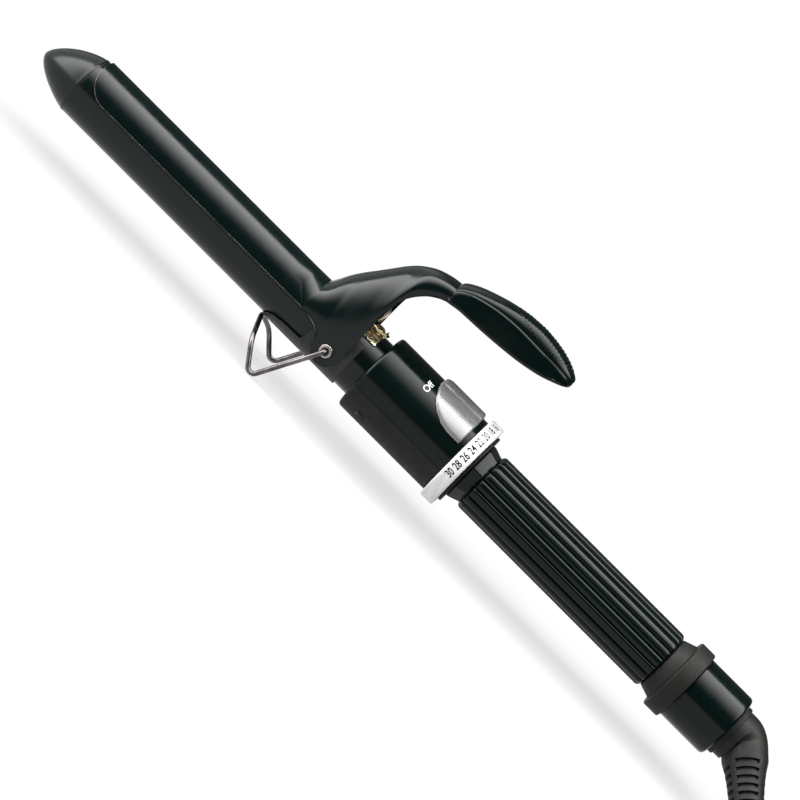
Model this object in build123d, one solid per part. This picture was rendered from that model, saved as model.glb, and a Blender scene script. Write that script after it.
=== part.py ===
"""Hair curling iron with a spring clamp, a flip-out wire stand, a rotary
temperature dial, a power slide and a swivel cord.

The tool lies along X with its nose at -X and its cord at +X. The clamp lever is
on the +Z side. Lengths are millimetres. Stations are distances along the tool
from the tip of the nose, and heights are from the tool's centre line; both are
moved into the part's frame when a node is written. The frame's origin is on the
table, under the middle of the tool.
"""
from build123d import *
import math
import os

# ---- driving dimensions -------------------------------------------------
BARREL_R = 12.7
BARREL_BORE_R = 11.9
NOSE_LENGTH = 19.8
NOSE_DROP = 1.8             # the tip of the nose lies this far below the centre line
BARREL_END = 176.0

CLAMP_GAP = 0.15
CLAMP_THICKNESS = 0.8
CLAMP_FRONT = 21.3
CLAMP_CORNER = 32.0         # where the rounded front meets the side edge
CLAMP_EDGE_Z = 2.3
KINK = 137.1                # where the lever arm leaves the clamp plate
ARM_END = 173.3
CHEEK_OUT = 14.45
CHEEK_IN = 13.35
ARM_TOP_HALF_WIDTH = 8.0
ARM_WALL = 1.2

PIVOT = 155.0
PIVOT_Z = -3.0
EAR_R = 6.0
EYELET_R = 1.9
EYELET_BORE_R = 1.1
EYELET_HEAD_R = 2.7
PIVOT_CLEARANCE = 0.05

SADDLE_R = 13.1
SADDLE_FRONT = 126.5
SADDLE_REAR = 164.4

WIRE_R = 1.0
STAND_HALF_SPAN = 16.2
STAND_CORNER = 140.4        # where the straight runs of each foot would meet
STAND_CORNER_Z = -30.96
STAND_APEX = 127.0

THUMB_END = 228.3

HOUSING_FRONT = 171.0
HOUSING_REAR = 216.3
HOUSING_R = 17.2
HOUSING_BORE_R = 15.2
HOUSING_WALL = 2.5
SEAM_Z = -3.5               # joint plane between the cover and the lower shell

SLIDE_FRONT = 193.5
SLIDE_REAR = 214.0
SLIDE_R = 18.5
SLIDE_GAP = 0.15
SLIDE_HALF_ANGLE = 58.0
SLIDE_NOSE = 12.0           # length of its rounded front

DIAL_FRONT = 216.5
DIAL_REAR = 222.5
DIAL_R = 19.35

CORE_R = 10.6
CORE_BORE_R = 8.9
CORE_FRONT = 205.0
CORE_END = 331.0
FLANGE_R = 16.0
FLANGE_REAR = 223.8
GRIP_FRONT = 229.0
GRIP_REAR = 324.6
GRIP_R = 12.85
GRIP_RIBS = 18
GRIP_GROOVE_R = 0.95
CONE_REAR = 330.2
RING_REAR = 337.3
RING_R = 15.7

SWIVEL_FRONT = 337.6
SWIVEL_REAR = 359.0
SWIVEL_R = 14.0
TOOL_END = 361.2
END_CAP_R = 11.2
HUB_R = 6.0
HUB_CLEARANCE = 0.08

ELBOW_R = 10.0
ELBOW_CORNER = 367.8
ELBOW_BEND_R = 12.0
RELIEF_DIRECTION = Vector(0.60, -0.66, -0.45).normalized()
RELIEF_LENGTH = 45.0
RELIEF_MID_LENGTH = 22.0
RELIEF_MID_R = 6.7
RELIEF_END_R = 4.4

CORD_R = 3.0
HANK_LENGTH = 130.0
HANK_WIDTH = 56.0
HANK_WAIST = 34.0
HANK_HEIGHT = 25.0
HANK_X = 464.0              # station of the end where the cord goes in
HANK_Y = -27.5
TIE_WIDTH = 12.0
TIE_THICKNESS = 0.8

AXIS_Z = 29.9               # height of the centre line over the table: the stand's feet touch it
MID = TOOL_END / 2.0        # station of the frame's origin


STAND_ON = (Align.CENTER, Align.CENTER, Align.MIN)


# ---- helpers ------------------------------------------------------------
def rod(start, end, radius, y=0.0, z=0.0):
    """A round bar along X."""
    return extrude(Plane.YZ.offset(start) * Pos(y, z) * Circle(radius), end - start)


def tube(start, end, outer, inner):
    return rod(start, end, outer) - rod(start, end, inner)


def turned(*points):
    """A solid of revolution about the centre line from (station, radius) points."""
    return revolve(make_face(Polyline(*points, close=True)), Axis.X)


def side_slab(wires, half_width):
    """A side-view outline, in station and height, given width across the tool."""
    return extrude(Plane.XZ * make_face(wires), half_width, both=True)


def end_slab(wires, start, end):
    """An end-view outline, in Y and height, run along the tool."""
    return extrude(Plane.YZ.offset(start) * make_face(wires), end - start)


def block(x0, x1, y0, y1, z0, z1):
    box = Box(x1 - x0, y1 - y0, z1 - z0)
    return Pos((x0 + x1) / 2, (y0 + y1) / 2, (z0 + z1) / 2) * box


def cross_pin(y0, y1, radius, x=PIVOT, z=PIVOT_Z):
    """A round bar across the tool, by default on the pivot line."""
    disc = Plane.XZ.offset(-y0) * Pos(x, z) * Circle(radius)
    return extrude(disc, y0 - y1)


def cone_along(origin, direction, sections):
    """Circles given as (distance, radius) along a direction, joined by cones."""
    plane = Plane(origin=origin, z_dir=direction)
    circles = [plane.offset(distance) * Circle(radius) for distance, radius in sections]
    return loft(circles, ruled=True)


NODES = {}


def node(name, *shapes):
    NODES[name] = shapes


# ---- barrel and heater --------------------------------------------------
def tip_cap():
    sections = [(0.5, 2.0, 1.0), (5.2, 6.5, 0.57), (12.7, 10.85, 0.14), (NOSE_LENGTH, BARREL_R, 0.0)]
    circles = [
        Plane.YZ.offset(station) * Pos(0, -NOSE_DROP * drop) * Circle(radius)
        for station, radius, drop in sections
    ]
    nose = loft(circles)
    nose += Pos(0.5, 0, -NOSE_DROP) * Rot(0, -90, 0) * Cone(2.0, 1.0, 0.5, align=STAND_ON)
    return nose + rod(NOSE_LENGTH, NOSE_LENGTH + 8, BARREL_BORE_R) - rod(NOSE_LENGTH, NOSE_LENGTH + 8, 9.5)


def barrel_tube():
    holes = cross_pin(-14, 14, EYELET_R)
    return tube(NOSE_LENGTH, BARREL_END, BARREL_R, BARREL_BORE_R) - holes


HEATER_START = 38.0
HEATER_END = 126.0
SHOE_R = BARREL_BORE_R - 0.05
ELEMENT_HALF_WIDTH = 7.5
ELEMENT_HALF_HEIGHT = 1.8
WIRE_PITCH = 4.0
LEAD_R = 0.9


def heater_shoe(side):
    """One aluminium half that presses the element's heat into the barrel."""
    body = rod(HEATER_START, HEATER_END, SHOE_R)
    half = block(HEATER_START, HEATER_END, -13, 13, min(0, side * 13), max(0, side * 13))
    bed = block(
        HEATER_START, HEATER_END, -ELEMENT_HALF_WIDTH, ELEMENT_HALF_WIDTH,
        -ELEMENT_HALF_HEIGHT, ELEMENT_HALF_HEIGHT,
    )
    slit = block(HEATER_START, HEATER_END, -13, 13, -0.4, 0.4)
    core = rod(HEATER_START, HEATER_END, 2.0, z=side * 7.0)
    return (body & half) - bed - slit - core


def heater_element():
    return block(
        HEATER_START + 1, HEATER_END - 1, -ELEMENT_HALF_WIDTH, ELEMENT_HALF_WIDTH,
        -ELEMENT_HALF_HEIGHT, ELEMENT_HALF_HEIGHT,
    )


def heater_spacer(start):
    """A ceramic disc at an end of the heater, with holes for the leads."""
    disc = rod(start, start + 3, SHOE_R)
    for y in (-WIRE_PITCH, 0, WIRE_PITCH):
        disc -= rod(start, start + 3, LEAD_R, y=y)
    return disc


def lead_wires():
    start = HEATER_END
    return [rod(start, CORE_FRONT - 26, LEAD_R, y=y) for y in (-WIRE_PITCH, WIRE_PITCH)]


# ---- pivot, stand and spring --------------------------------------------
def stand_saddle():
    """Thin steel strap under the barrel that carries the pivots."""
    shell = tube(SADDLE_FRONT, SADDLE_REAR, SADDLE_R, BARREL_R)
    outline = [
        Line((SADDLE_FRONT, -14), (SADDLE_REAR, -14)),
        Line((SADDLE_REAR, -14), (SADDLE_REAR, 8)),
        Line((SADDLE_REAR, 8), (149, 8)),
        Line((149, 8), (146, -7.4)),
        Line((146, -7.4), (133, -7.4)),
        ThreePointArc((133, -7.4), (128, -9.8), (SADDLE_FRONT, -14)),
    ]
    return (shell & side_slab(outline, 14)) - cross_pin(-14, 14, EYELET_R)


def pivot_eyelet(side):
    """Hollow rivet: a head outside the ear and a flare inside the barrel."""
    flare, shank, outer = 9.6, 10.2, 15.1
    head = CHEEK_OUT + PIVOT_CLEARANCE
    body = cross_pin(side * shank, side * head, EYELET_R)
    body += cross_pin(side * head, side * outer, EYELET_HEAD_R)
    body += cross_pin(side * flare, side * shank, EYELET_HEAD_R - 0.4)
    return body - cross_pin(side * flare, side * outer, EYELET_BORE_R)


def stand_wire():
    lean = Vector(STAND_APEX - STAND_CORNER, 0, -14.3 - STAND_CORNER_Z)
    shoulder = Vector(STAND_CORNER, 0, STAND_CORNER_Z) + lean * 0.62
    peak = Vector(STAND_CORNER, 0, STAND_CORNER_Z) + lean * 1.03
    half = [
        (PIVOT, STAND_HALF_SPAN - 4.6, PIVOT_Z),
        (PIVOT, STAND_HALF_SPAN, PIVOT_Z),
        (STAND_CORNER, STAND_HALF_SPAN, STAND_CORNER_Z),
        (shoulder.X, STAND_HALF_SPAN - 3.2, shoulder.Z),
    ]
    left = [(x, -y, z) for x, y, z in half]
    points = half + [(peak.X, 0, peak.Z)] + left[::-1]
    path = FilletPolyline(*points, radius=[1.3, 2.6, 9.0, 4.5, 9.0, 2.6, 1.3])
    section = Plane(origin=path @ 0, z_dir=path % 0) * Circle(WIRE_R)
    return sweep(section, path)


SPRING_X = 157.5
SPRING_Z = 19.0
SPRING_COIL_R = 3.4
SPRING_WIRE_R = 0.6


def clamp_spring():
    """Torsion spring under the arm, as its envelope: a coil sleeve and two legs."""
    coil = cross_pin(-4.5, 4.5, SPRING_COIL_R + SPRING_WIRE_R, x=SPRING_X, z=SPRING_Z)
    coil -= cross_pin(-4.5, 4.5, SPRING_COIL_R - SPRING_WIRE_R, x=SPRING_X, z=SPRING_Z)
    base = FilletPolyline(
        (SPRING_X, -3.9, SPRING_Z - SPRING_COIL_R), (SPRING_X + 4, -3.9, BARREL_R + 1.3),
        (SPRING_X + 9.5, -3.9, BARREL_R + 1.3), radius=1.5,
    )
    push = Line((SPRING_X - 1, 3.9, SPRING_Z + SPRING_COIL_R), (SPRING_X + 3.2, 3.9, 40.5))
    legs = []
    for path in (base, push):
        section = Plane(origin=path @ 0, z_dir=path % 0) * Circle(SPRING_WIRE_R)
        legs.append(sweep(section, path))
    return coil + legs[0] + legs[1]


def spring_plate():
    """Brass strap on the neck that the spring's lower leg bears on."""
    strap = tube(158.5, 166.6, BARREL_R + 0.6, BARREL_R)
    return strap & block(158, 167, -8.5, 8.5, 5, 14)


def spring_screw():
    """Pan head screw that holds the strap to the neck."""
    head = Pos(163, 0, BARREL_R + 0.6) * Cylinder(2.4, 1.8, align=STAND_ON)
    head = fillet(head.edges().sort_by(Axis.Z)[-1], 0.9)
    slot = block(160, 166, -0.35, 0.35, BARREL_R + 1.7, BARREL_R + 3)
    return head - slot


# ---- clamp --------------------------------------------------------------
def clamp_plate():
    inner = BARREL_R + CLAMP_GAP
    outer = inner + CLAMP_THICKNESS
    shell = tube(CLAMP_FRONT, KINK + 8, outer, inner)
    outline = [
        Line((CLAMP_CORNER, CLAMP_EDGE_Z), (KINK + 8, CLAMP_EDGE_Z)),
        Line((KINK + 8, CLAMP_EDGE_Z), (KINK + 8, 15)),
        Line((KINK + 8, 15), (CLAMP_FRONT, 15)),
        Line((CLAMP_FRONT, 15), (CLAMP_FRONT, outer)),
        EllipticalCenterArc(
            (CLAMP_CORNER, outer), CLAMP_CORNER - CLAMP_FRONT, outer - CLAMP_EDGE_Z,
            start_angle=180, arc_size=90,
        ),
    ]
    return shell & side_slab(outline, 15)


def arm_outline(wall):
    """Side view of the arm; wall moves the front and top edges inwards."""
    slope_shift = wall * 1.22
    top = 48.4 - wall
    front = [
        Line((KINK + slope_shift, BARREL_R + 0.3), (154.0 + slope_shift * 0.9, 39.8 - wall * 0.2)),
        Spline(
            (154.0 + slope_shift * 0.9, 39.8 - wall * 0.2), (161.8 + wall * 0.3, 46.0 - wall),
            (ARM_END, top), tangents=[(1.0, 1.4), (1.0, 0.03)],
        ),
    ]
    return front


def clamp_arm():
    ear_front = PIVOT - EAR_R
    ear_rear = PIVOT + EAR_R
    front, crown = arm_outline(0.0)
    under = Spline(
        (ARM_END, 41.3), (167.0, 37.6), (162.2, 31.5), (ear_rear, 25.0),
        tangents=[(-1.0, -0.06), (0.0, -1.0)],
    )
    outer = [
        front, crown,
        Line((ARM_END, 48.4), (ARM_END, 41.3)),
        under,
        Line((ear_rear, 25.0), (ear_rear, PIVOT_Z)),
        ThreePointArc((ear_rear, PIVOT_Z), (PIVOT, PIVOT_Z - EAR_R), (ear_front, PIVOT_Z)),
        Spline(
            (ear_front, PIVOT_Z), (145.5, 0.4), (KINK, CLAMP_EDGE_Z),
            tangents=[(0.0, 1.0), (-1.0, 0.0)],
        ),
        Line((KINK, CLAMP_EDGE_Z), (KINK, BARREL_R + 0.3)),
    ]
    body = side_slab(outer, CHEEK_OUT)
    body &= end_slab(arm_section(CHEEK_OUT, ARM_TOP_HALF_WIDTH), KINK - 5, ARM_END + 5)
    return body & arm_plan(ARM_TOP_HALF_WIDTH)


def arm_section(low, high):
    """End view of the arm: upright cheeks that draw in towards the top."""
    right = [(low, -12), (low, 4), (high + 3.4, 30), (high + 2.2, 41), (high + 2.2, 60)]
    left = [(-y, z) for y, z in right[::-1]]
    return Polyline(*right, *left, close=True)


def arm_plan(half_width):
    """Top view of the arm: behind the ears it narrows to the thumb rest."""
    right = [
        (KINK - 10, 16), (PIVOT + EAR_R, 16), (PIVOT + EAR_R, half_width + 3.6),
        (ARM_END, half_width), (ARM_END + 5, half_width),
    ]
    left = [(x, -y) for x, y in right[::-1]]
    return extrude(Plane.XY.offset(-15) * make_face(Polyline(*right, *left, close=True)), 80)


def arm_hollow():
    """The space inside the arm, open below and behind."""
    front, crown = arm_outline(ARM_WALL)
    top = 48.4 - ARM_WALL
    outline = [
        front, crown,
        Line((ARM_END, top), (ARM_END, 42.5)),
        Line((ARM_END, 42.5), (ARM_END - 4, 20)),
        Line((ARM_END - 4, 20), (ARM_END - 4, -14)),
        Line((ARM_END - 4, -14), (KINK - 4, -14)),
        Line((KINK - 4, -14), (KINK - 4, BARREL_R + 0.3)),
        Line((KINK - 4, BARREL_R + 0.3), front @ 0),
    ]
    space = side_slab(outline, CHEEK_OUT)
    space &= end_slab(arm_section(CHEEK_IN, ARM_TOP_HALF_WIDTH - ARM_WALL), KINK - 9, ARM_END + 5)
    return space & arm_plan(ARM_TOP_HALF_WIDTH - ARM_WALL)


TONGUE_END = 198.0
TONGUE_HALF_WIDTH = 4.5


def arm_tongue():
    return block(ARM_END - 0.6, TONGUE_END, -TONGUE_HALF_WIDTH, TONGUE_HALF_WIDTH, 43.4, 46.4)


def clamp():
    arm = clamp_arm() - arm_hollow()
    arm -= rod(KINK - 10, PIVOT + 20, BARREL_R + CLAMP_GAP)
    end_wall = end_slab(arm_section(CHEEK_OUT, ARM_TOP_HALF_WIDTH), ARM_END - 1.2, ARM_END)
    arm += end_wall & block(170, 175, -8, 8, 41.3, 48.3)
    body = clamp_plate() + arm + arm_tongue()
    return body - cross_pin(-16, 16, EYELET_R + PIVOT_CLEARANCE)


def thumb_section(station, half_width, low, side_top, crown):
    corner = 1.6
    plane = Plane.YZ.offset(station)
    wires = [
        Line((-half_width + corner, low), (half_width - corner, low)),
        ThreePointArc(
            (half_width - corner, low),
            (half_width - corner * 0.293, low + corner * 0.293),
            (half_width, low + corner),
        ),
        Line((half_width, low + corner), (half_width, side_top)),
        ThreePointArc((half_width, side_top), (0, crown), (-half_width, side_top)),
        Line((-half_width, side_top), (-half_width, low + corner)),
        ThreePointArc(
            (-half_width, low + corner),
            (-half_width + corner * 0.293, low + corner * 0.293),
            (-half_width + corner, low),
        ),
    ]
    return plane * make_face(wires)


def thumb_solid():
    sections = [
        (ARM_END, 8.3, 41.2, 45.0, 49.6),
        (179.0, 8.6, 41.9, 47.8, 53.1),
        (192.0, 8.8, 42.4, 51.0, 57.5),
        (207.0, 8.8, 43.8, 52.4, 59.4),
        (218.0, 8.3, 46.0, 51.8, 58.0),
        (225.0, 6.4, 48.2, 51.0, 55.2),
        (THUMB_END, 3.2, 49.6, 51.4, 52.6),
    ]
    return loft([thumb_section(*values) for values in sections])


def thumb_pad_space():
    """Lens-shaped inlay on top of the thumb rest."""
    lens = extrude(Plane.XY.offset(40) * Pos(209.5, 0) * Ellipse(16.6, 8.4), 30)
    top = [
        Spline((186, 52.8), (195, 54.8), (207, 55.6), (218, 54.3), (230, 49.5)),
        Polyline((230, 49.5), (230, 65), (186, 65), (186, 52.8)),
    ]
    return lens & side_slab(top, 12)


def thumb_rest():
    pocket = block(ARM_END - 1, TONGUE_END, -TONGUE_HALF_WIDTH, TONGUE_HALF_WIDTH, 43.4, 46.4)
    return thumb_solid() - thumb_pad_space() - pocket


# ---- housing ------------------------------------------------------------
def housing():
    profile = [
        (HOUSING_FRONT, BARREL_R), (HOUSING_FRONT, HOUSING_R - 1.5),
        (HOUSING_FRONT + 0.45, HOUSING_R - 0.45), (HOUSING_FRONT + 1.5, HOUSING_R),
        (HOUSING_REAR, HOUSING_R), (HOUSING_REAR, CORE_R),
        (HOUSING_REAR - HOUSING_WALL, CORE_R), (HOUSING_REAR - HOUSING_WALL, HOUSING_BORE_R),
        (HOUSING_FRONT + HOUSING_WALL, HOUSING_BORE_R), (HOUSING_FRONT + HOUSING_WALL, BARREL_R),
    ]
    return turned(*profile)


def above_seam():
    return block(HOUSING_FRONT - 1, HOUSING_REAR + 1, -20, 20, SEAM_Z, 20)


SLOT = (197.4, 209.2)
SLOT_HALF_WIDTH = 1.8
SCREW_STATION = 180.0
SCREW_Y = 11.3
SCREW_R = 1.3
SCREW_HEAD_R = 2.3


def housing_screw(station, side):
    """Shank up through a boss, with its head sunk in the lower shell."""
    y = side * SCREW_Y
    shank = Pos(station, y, -11.0) * Cylinder(SCREW_R, 15.5, align=STAND_ON)
    head = Pos(station, y, -12.6) * Cylinder(SCREW_HEAD_R, 1.6, align=STAND_ON)
    return shank + head


def screw_set():
    return [housing_screw(SCREW_STATION, side) for side in (-1, 1)]


def housing_cover():
    bosses = [
        Pos(SCREW_STATION, side * SCREW_Y, SEAM_Z) * Cylinder(2.6, 11, align=STAND_ON)
        for side in (-1, 1)
    ]
    cover = housing() & above_seam()
    for boss in bosses:
        cover += boss & rod(HOUSING_FRONT, HOUSING_REAR, HOUSING_BORE_R + 0.5)
    cover -= block(SLOT[0], SLOT[1], -SLOT_HALF_WIDTH, SLOT_HALF_WIDTH, 10, 20)
    for screw in screw_set():
        cover -= screw
    return cover


def housing_shell():
    shell = housing() - above_seam()
    for side in (-1, 1):
        boss = Pos(SCREW_STATION, side * SCREW_Y, -13) * Cylinder(
            3.2, 13 + SEAM_Z, align=STAND_ON
        )
        shell += boss & rod(HOUSING_FRONT, HOUSING_REAR, HOUSING_BORE_R + 0.5)
        access = Pos(SCREW_STATION, side * SCREW_Y, -18) * Cylinder(
            SCREW_HEAD_R, 18 - 11, align=STAND_ON
        )
        shell -= access
    for screw in screw_set():
        shell -= screw
    return shell


BOARD = (184.5, 204.5, -9.0, 9.0, 4.0, 5.6)


def control_board():
    return block(*BOARD)


def board_parts():
    triac = block(185.5, 190, -7, -2, 5.6, 9.6)
    capacitor = Pos(193.8, -5.2, 5.6) * Cylinder(2.5, 6.5, align=STAND_ON)
    chip = block(188, 194, 1, 7, 5.6, 7.2)
    return [triac, capacitor, chip]


def slide_switch():
    """Small slide switch on the board, with a channel for the slide's tang."""
    body = block(197.5, 203.9, -3.6, 3.6, 5.6, 10.4)
    return body


def power_slide():
    shell = tube(SLIDE_FRONT, SLIDE_REAR, SLIDE_R, HOUSING_R + SLIDE_GAP)
    half = math.radians(SLIDE_HALF_ANGLE)
    reach = 30.0
    wedge = make_face(Polyline(
        (0, 0), (reach * math.sin(half), reach * math.cos(half)), (0, reach),
        (-reach * math.sin(half), reach * math.cos(half)), close=True,
    ))
    shell &= extrude(Plane.YZ.offset(SLIDE_FRONT) * wedge, SLIDE_REAR - SLIDE_FRONT)
    half_width = SLIDE_R * math.sin(half)
    outline = [
        Line((SLIDE_FRONT + SLIDE_NOSE, half_width), (SLIDE_REAR, half_width)),
        Line((SLIDE_REAR, half_width), (SLIDE_REAR, -half_width)),
        Line((SLIDE_REAR, -half_width), (SLIDE_FRONT + SLIDE_NOSE, -half_width)),
        EllipticalCenterArc(
            (SLIDE_FRONT + SLIDE_NOSE, 0), SLIDE_NOSE, half_width, start_angle=90, arc_size=180,
        ),
    ]
    shell &= extrude(Plane.XY * make_face(outline), 30)
    tang = block(203.2, 208.6, -1.4, 1.4, 11.0, SLIDE_R - 0.6)
    return shell + tang


# ---- dial ---------------------------------------------------------------
DIAL_HUB_R = 12.0


def dial_ring():
    width = DIAL_REAR - DIAL_FRONT
    bore = CORE_R + HUB_CLEARANCE
    profile = [
        (DIAL_FRONT, 17.0), (DIAL_FRONT, DIAL_R - 0.7), (DIAL_FRONT + 0.7, DIAL_R),
        (DIAL_REAR - 0.7, DIAL_R), (DIAL_REAR, DIAL_R - 0.7), (DIAL_REAR, 17.0),
        (DIAL_FRONT + width * 0.65, 17.0),
        (DIAL_FRONT + width * 0.65, DIAL_HUB_R), (DIAL_REAR, DIAL_HUB_R), (DIAL_REAR, bore),
        (DIAL_FRONT, bore), (DIAL_FRONT, DIAL_HUB_R), (DIAL_FRONT + width * 0.35, DIAL_HUB_R),
        (DIAL_FRONT + width * 0.35, 17.0),
    ]
    return turned(*profile)


TRACK_FRONT = 217.0


def dial_wiper():
    """Sprung brass contact on the dial that rides on the track."""
    return block(217.5, DIAL_FRONT + 2.1, -1.5, 1.5, 13.0, 16.0)


def dial_track():
    """Ring of resistive track, seated on the housing's rear wall."""
    return tube(HOUSING_REAR, TRACK_FRONT + 0.4, 16.6, 12.3)


# ---- handle -------------------------------------------------------------
def handle_core():
    return tube(CORE_FRONT, CORE_END, CORE_R, CORE_BORE_R)


def dial_flange():
    return tube(DIAL_REAR + 0.2, FLANGE_REAR, FLANGE_R, CORE_R)


def faceted_collar():
    front = Plane.YZ.offset(FLANGE_REAR) * Rot(0, 0, 22.5) * RegularPolygon(13.0, 8)
    rear = Plane.YZ.offset(GRIP_FRONT) * Rot(0, 0, 22.5) * RegularPolygon(11.6, 8)
    return loft([front, rear]) - rod(FLANGE_REAR, GRIP_FRONT, CORE_R)


def grip_sleeve():
    sleeve = turned(
        (GRIP_FRONT, CORE_R), (GRIP_FRONT, 11.5), (GRIP_FRONT + 1.6, GRIP_R),
        (GRIP_REAR - 1.6, GRIP_R), (GRIP_REAR, 11.5), (GRIP_REAR, CORE_R),
    )
    for index in range(GRIP_RIBS):
        angle = 2 * math.pi * index / GRIP_RIBS
        sleeve -= rod(
            GRIP_FRONT, GRIP_REAR, GRIP_GROOVE_R,
            y=GRIP_R * math.cos(angle), z=GRIP_R * math.sin(angle),
        )
    return sleeve


def rear_cone():
    return turned((GRIP_REAR, CORE_R), (GRIP_REAR, 10.9), (CONE_REAR, 13.1), (CONE_REAR, CORE_R))


def rear_ring():
    return turned(
        (CONE_REAR, CORE_R), (CONE_REAR, RING_R - 0.8), (CONE_REAR + 0.8, RING_R),
        (RING_REAR - 0.8, RING_R), (RING_REAR, RING_R - 0.8), (RING_REAR, HUB_R + 2.0),
        (CORE_END, HUB_R + 2.0), (CORE_END, CORE_R),
    )


# ---- cord swivel --------------------------------------------------------
def swivel_bearing():
    """Bush in the handle's end that the swivel hub turns in."""
    return tube(321.0, CORE_END, CORE_BORE_R, HUB_R + HUB_CLEARANCE)


def swivel_hub():
    flange = rod(318.2, 320.7, 8.4)
    disc = rod(339.5, 342.0, 12.4)
    return rod(317.0, 342.0, HUB_R) + flange + disc - rod(317.0, 342.0, 3.4)


def slip_drum():
    return rod(302.0, 317.0, 4.6) - rod(302.0, 317.0, 1.6)


RING_STATIONS = (304.0, 310.0)
RING_CONTACT_R = 5.48


def slip_rings():
    return [tube(station, station + 3.5, 5.4, 4.6) for station in RING_STATIONS]


def brush_contacts():
    return [
        block(station + 0.5, station + 3.0, -1.5, 1.5, RING_CONTACT_R, CORE_BORE_R - 0.2)
        for station in RING_STATIONS
    ]


def swivel_shell():
    return turned(
        (SWIVEL_FRONT, 12.4), (SWIVEL_FRONT, SWIVEL_R), (SWIVEL_REAR - 2.2, SWIVEL_R),
        (SWIVEL_REAR - 0.7, SWIVEL_R - 0.7), (SWIVEL_REAR, SWIVEL_R - 2.2), (SWIVEL_REAR, 5.0),
        (SWIVEL_REAR - 2.5, 5.0), (SWIVEL_REAR - 2.5, 12.4),
    )


def swivel_end_cap():
    return tube(SWIVEL_REAR, TOOL_END, END_CAP_R, 5.0)


CORNER = Vector(ELBOW_CORNER, 0, 0)
RELIEF_END = CORNER + RELIEF_DIRECTION * RELIEF_LENGTH


def cord_elbow():
    """Rubber elbow that tapers into the strain relief."""
    turn = math.radians(Vector(1, 0, 0).get_angle(RELIEF_DIRECTION))
    tangent = ELBOW_BEND_R * math.tan(turn / 2)
    start = Vector(TOOL_END, 0, 0)
    bend_end = CORNER + RELIEF_DIRECTION * tangent
    path = FilletPolyline(start, CORNER, bend_end + RELIEF_DIRECTION * 0.5, radius=ELBOW_BEND_R)
    bend = sweep(Plane(origin=start, z_dir=(1, 0, 0)) * Circle(ELBOW_R), path)
    taper = cone_along(CORNER, RELIEF_DIRECTION, [
        (tangent + 0.5, ELBOW_R), (RELIEF_MID_LENGTH, RELIEF_MID_R), (RELIEF_LENGTH, RELIEF_END_R),
    ])
    return bend + taper


# ---- cord ---------------------------------------------------------------
FLOOR = CORD_R - AXIS_Z     # height of the cord's centre where it lies on the table


def cord_route():
    """Corners of the cord's path, from the strain relief to the hank."""
    x, y, z = RELIEF_END.X, RELIEF_END.Y, RELIEF_END.Z
    first = RELIEF_END + RELIEF_DIRECTION * 10.0
    return [
        (x, y, z),
        (first.X, first.Y, first.Z),
        (first.X + 7.0, first.Y - 6.0, FLOOR),
        (first.X + 17.6, first.Y - 11.1, FLOOR),
        (first.X + 31.6, first.Y - 14.5, FLOOR),
        (first.X + 47.4, first.Y - 15.9, FLOOR),
        (first.X + 63.4, first.Y - 16.1, FLOOR),
        (HANK_X + 16.0, HANK_Y - 24.6, FLOOR),
    ]


def corner_radii(points):
    """Largest tangent arc at each corner that its two runs allow."""
    vectors = [Vector(*point) for point in points]
    radii = []
    for before, here, after in zip(vectors, vectors[1:], vectors[2:]):
        turn = math.radians((here - before).get_angle(after - here))
        shorter = min((here - before).length, (after - here).length)
        radii.append(0.45 * shorter / math.tan(turn / 2))
    return radii


def cord_tube():
    points = cord_route()
    radii = corner_radii(points)
    path = FilletPolyline(*points, radius=radii)
    section = Plane(origin=path @ 0, z_dir=path % 0) * Circle(CORD_R)
    solid = sweep(section, path)
    print("cord corner radii", [round(radius, 1) for radius in radii])
    print("cord tube length", round(path.length, 1))
    expected = math.pi * CORD_R ** 2 * path.length
    print("volume over section times length", round(solid.volume / expected, 4))
    return solid


HANK_LOW = TIE_THICKNESS - AXIS_Z


def cord_hank():
    half, waist = HANK_WIDTH / 2, HANK_WAIST / 2
    front, rear = HANK_X + half, HANK_X + HANK_LENGTH - half
    middle = (front + rear) / 2
    flat = TIE_WIDTH / 2 + 1.0
    sides = []
    for side in (-1, 1):
        wide, narrow = HANK_Y + side * half, HANK_Y + side * waist
        sides += [
            Spline((front, wide), (middle - flat, narrow), tangents=[(1, 0), (1, 0)]),
            Line((middle - flat, narrow), (middle + flat, narrow)),
            Spline((middle + flat, narrow), (rear, wide), tangents=[(1, 0), (1, 0)]),
        ]
    ends = [
        ThreePointArc((front, HANK_Y - half), (HANK_X, HANK_Y), (front, HANK_Y + half)),
        ThreePointArc((rear, HANK_Y - half), (HANK_X + HANK_LENGTH, HANK_Y), (rear, HANK_Y + half)),
    ]
    return Pos(0, 0, HANK_LOW) * extrude(make_face(sides + ends), HANK_HEIGHT)


def hank_tie():
    half, t = HANK_WAIST / 2, TIE_THICKNESS
    start = HANK_X + HANK_LENGTH / 2 - TIE_WIDTH / 2
    low, high = HANK_LOW, HANK_LOW + HANK_HEIGHT
    inner = block(start, start + TIE_WIDTH, HANK_Y - half, HANK_Y + half, low, high)
    outer = block(start, start + TIE_WIDTH, HANK_Y - half - t, HANK_Y + half + t, low - t, high + t)
    return chamfer(outer.edges().filter_by(Axis.X), 0.5) - inner


PLUG_X = HANK_X + 84.0
PLUG_LENGTH = 28.0
PLUG_HALF_WIDTH = 11.0
PLUG_HALF_HEIGHT = 7.5
PLUG_RELIEF = 18.0
PLUG_Z = HANK_LOW + HANK_HEIGHT + PLUG_HALF_HEIGHT
BLADE_LENGTH = 17.0
BLADE_HALF_SPAN = 6.35


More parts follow.
